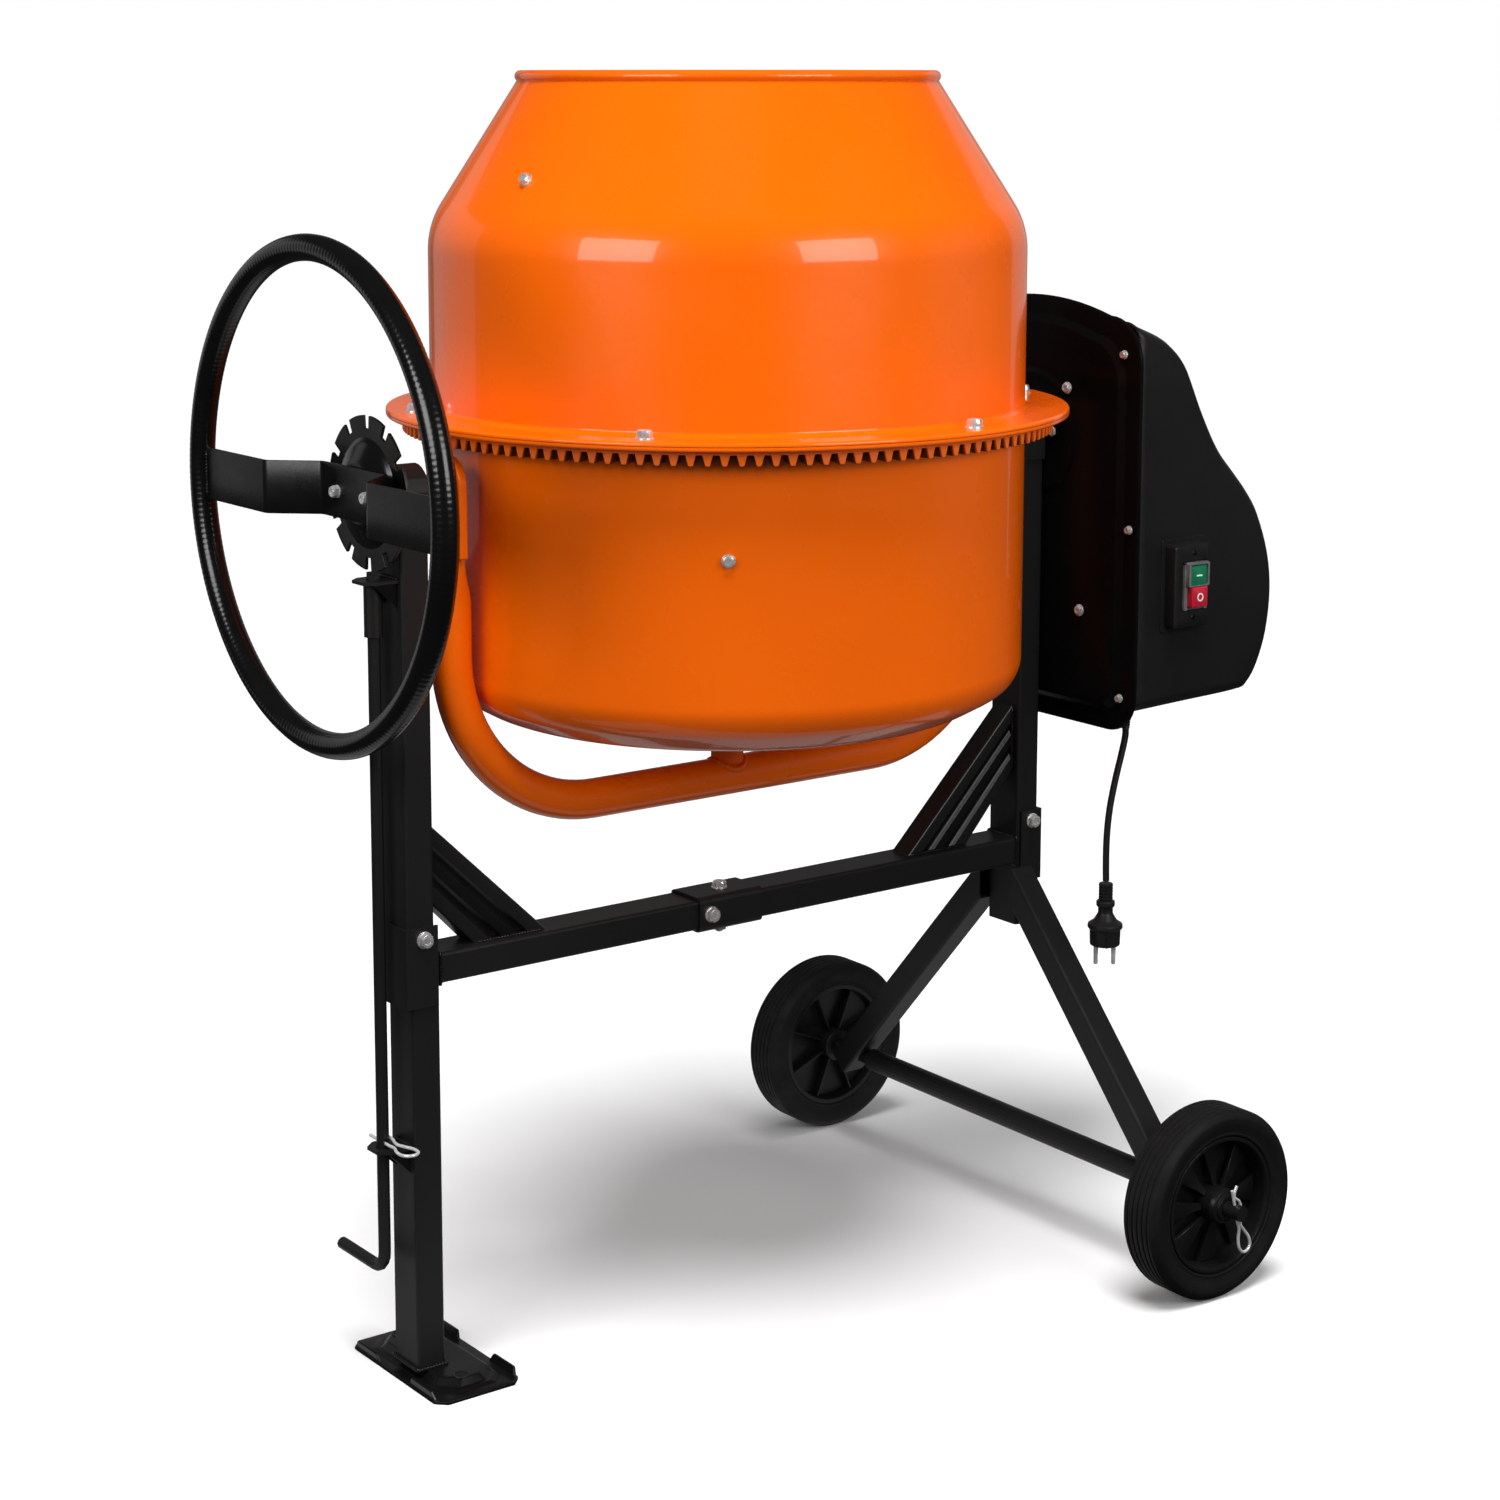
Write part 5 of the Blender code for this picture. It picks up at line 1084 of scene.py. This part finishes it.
def stand_welds():
    y, z, proud = TUBE_Y / 2, TUBE_X / 2, TUBE_X / 2 + 0.0006
    for name, x in (("left_bar_weld", LEG_X + proud), ("right_bar_weld", POST_RIGHT_X - proud)):
        joint = [(x, p, q) for p, q in rectangle(y, z, 0, 1, (0, BAR_Z))]
        weld(name, joint, 0.002, BLACK, "stand", True)
    for name, face, top in (("rod_guide", POST_LEFT_X, 0.7815), ("rod_lower_tab", LEG_X, LOW_TAB_Z)):
        weld(f"{name}_weld", [(face - proud, side * 0.016, top + 0.0006) for side in (-1, 1)], 0.002, BLACK,
             "stand")
    corners = [(0.0, 0.0), (-0.022, 0.0), (-0.022, -0.002), (0.0, -0.024)]
    gusset = prism(corners, -PLATE_THICK / 2, PLATE_THICK / 2)
    for name, face, top in (("guide_gusset", POST_LEFT_X, 0.7785), ("tab_gusset", LEG_X, LOW_TAB_Z - 0.003)):
        for side, sign in FRONT_REAR:
            place = at(face - TUBE_X / 2 - GAP, sign * 0.014, top, FRONT)
            piece(f"{name}_{side}", gusset, BLACK, "stand", place, bevel=0.0004)


def finish_cad_nodes():
    for slot in frame["record"]["materials"]:
        for name in slot.get("nodes", slot.get("targets", [])):
            node = frame["nodes"][name]
            node.data.materials.clear()
            node.data.materials.append(LOOKS[slot["slot"]][0])
    frame["nodes"]["axle_shaft"].data.materials[0] = SHINY_BLACK
    for node in frame["nodes"].values():
        node.data.shade_smooth()
        node.data.set_sharp_from_angle(angle=radians(35))


# Stage

def floor():
    """A pale floor that the camera sees and that sends no light back to the object."""
    bm = bmesh.new()
    bmesh.ops.create_grid(bm, x_segments=1, y_segments=1, size=60.0)
    mesh = bpy.data.meshes.new("floor")
    bm.to_mesh(mesh)
    bm.free()
    pale = Nodes("pale_floor", Specular_IOR_Level=0.2, Roughness=0.8)
    pale.colour(pale.blend(pale.noise(3.0), (0.885, 0.885, 0.885), (0.9, 0.9, 0.9)))
    mesh.materials.append(pale.material)
    made = add("floor", mesh)
    made.location.z = -0.0005
    made.visible_glossy = made.visible_diffuse = False


def surroundings():
    """White to the camera, dim to everything else, and dimmest in reflections."""
    world = bpy.data.worlds.new("studio")
    bpy.context.scene.world = world
    world.use_nodes = True
    tree, white = world.node_tree, (1, 1, 1, 1)
    rays = add_node(tree, "LightPath").outputs
    result = add_node(tree, "Background", Color=white, Strength=0.16).outputs[0]
    for ray, strength in (("Is Glossy Ray", 0.025), ("Is Camera Ray", 1.0)):
        level = add_node(tree, "Background", Color=white, Strength=strength).outputs[0]
        mix = add_node(tree, "MixShader", Fac=rays[ray])
        tree.links.new(result, mix.inputs[1])
        tree.links.new(level, mix.inputs[2])
        result = mix.outputs[0]
    tree.links.new(result, tree.nodes["World Output"].inputs["Surface"])


def sun():
    data = bpy.data.lights.new("overhead", "SUN")
    data.energy, data.angle = 3.5, radians(30)
    lamp = add("overhead", data)
    lamp.rotation_euler = Vector((0.2, 0.24, -1.0)).to_track_quat("-Z", "Y").to_euler()
    lamp.visible_glossy = False


def area_light(name, place, aim, size, power):
    data = bpy.data.lights.new(name, "AREA")
    data.shape, data.size, data.size_y, data.energy = "RECTANGLE", *size, power
    made = add(name, data)
    made.location = AXIS + Vector(place)
    made.rotation_euler = (Vector(aim) - Vector(place)).to_track_quat("-Z", "Y").to_euler()
    return made


def card(name, place, aim, size, level):
    """A lit card that shows only in reflections."""
    made = area_light(name, place, aim, size, level * pi * size[0] * size[1])
    made.visible_diffuse = made.visible_camera = False


def lights():
    shoulder = Vector((0, 0, SHOULDER_Z))
    area_light("softbox_left", shoulder + Vector((-2.33, -0.56, 0.55)), shoulder, (1.25, 1.0), 24)
    area_light("softbox_right", shoulder + Vector((0.16, -2.39, 0.55)), shoulder, (1.25, 1.0), 24)
    fill = area_light("fill_right", shoulder + Vector((2.2, -1.4, 0.1)), shoulder, (1.4, 1.4), 14)
    fill.visible_glossy = False
    for name, turn, wide, level in (("card_left", 106, 3.0, 0.36), ("card_back", 54, 3.6, 0.20),
                                    ("card_right", 20, 1.8, 0.3)):
        card(name, polar(4.0, radians(turn), 1.3), (0, 0, 1.3), (wide, 2.6), level)
    card("card_floor", (0.05, 0.3, 0.002), (0.05, 0.3, 1), (1.5, 1.2), 0.36)


finish_cad_nodes()
drum_shells()
ring_gear()
drum_bolts()
blades()
yoke()
handwheel()
index_disc()
housing_panel()
housing_cover()
switch_plate()
switch_guard()
buttons()
foot()
braces()
stand_bolts()
wheels()
clips()
stand_welds()
floor()
surroundings()
sun()
lights()
bpy.context.scene.view_settings.view_transform = "Standard"
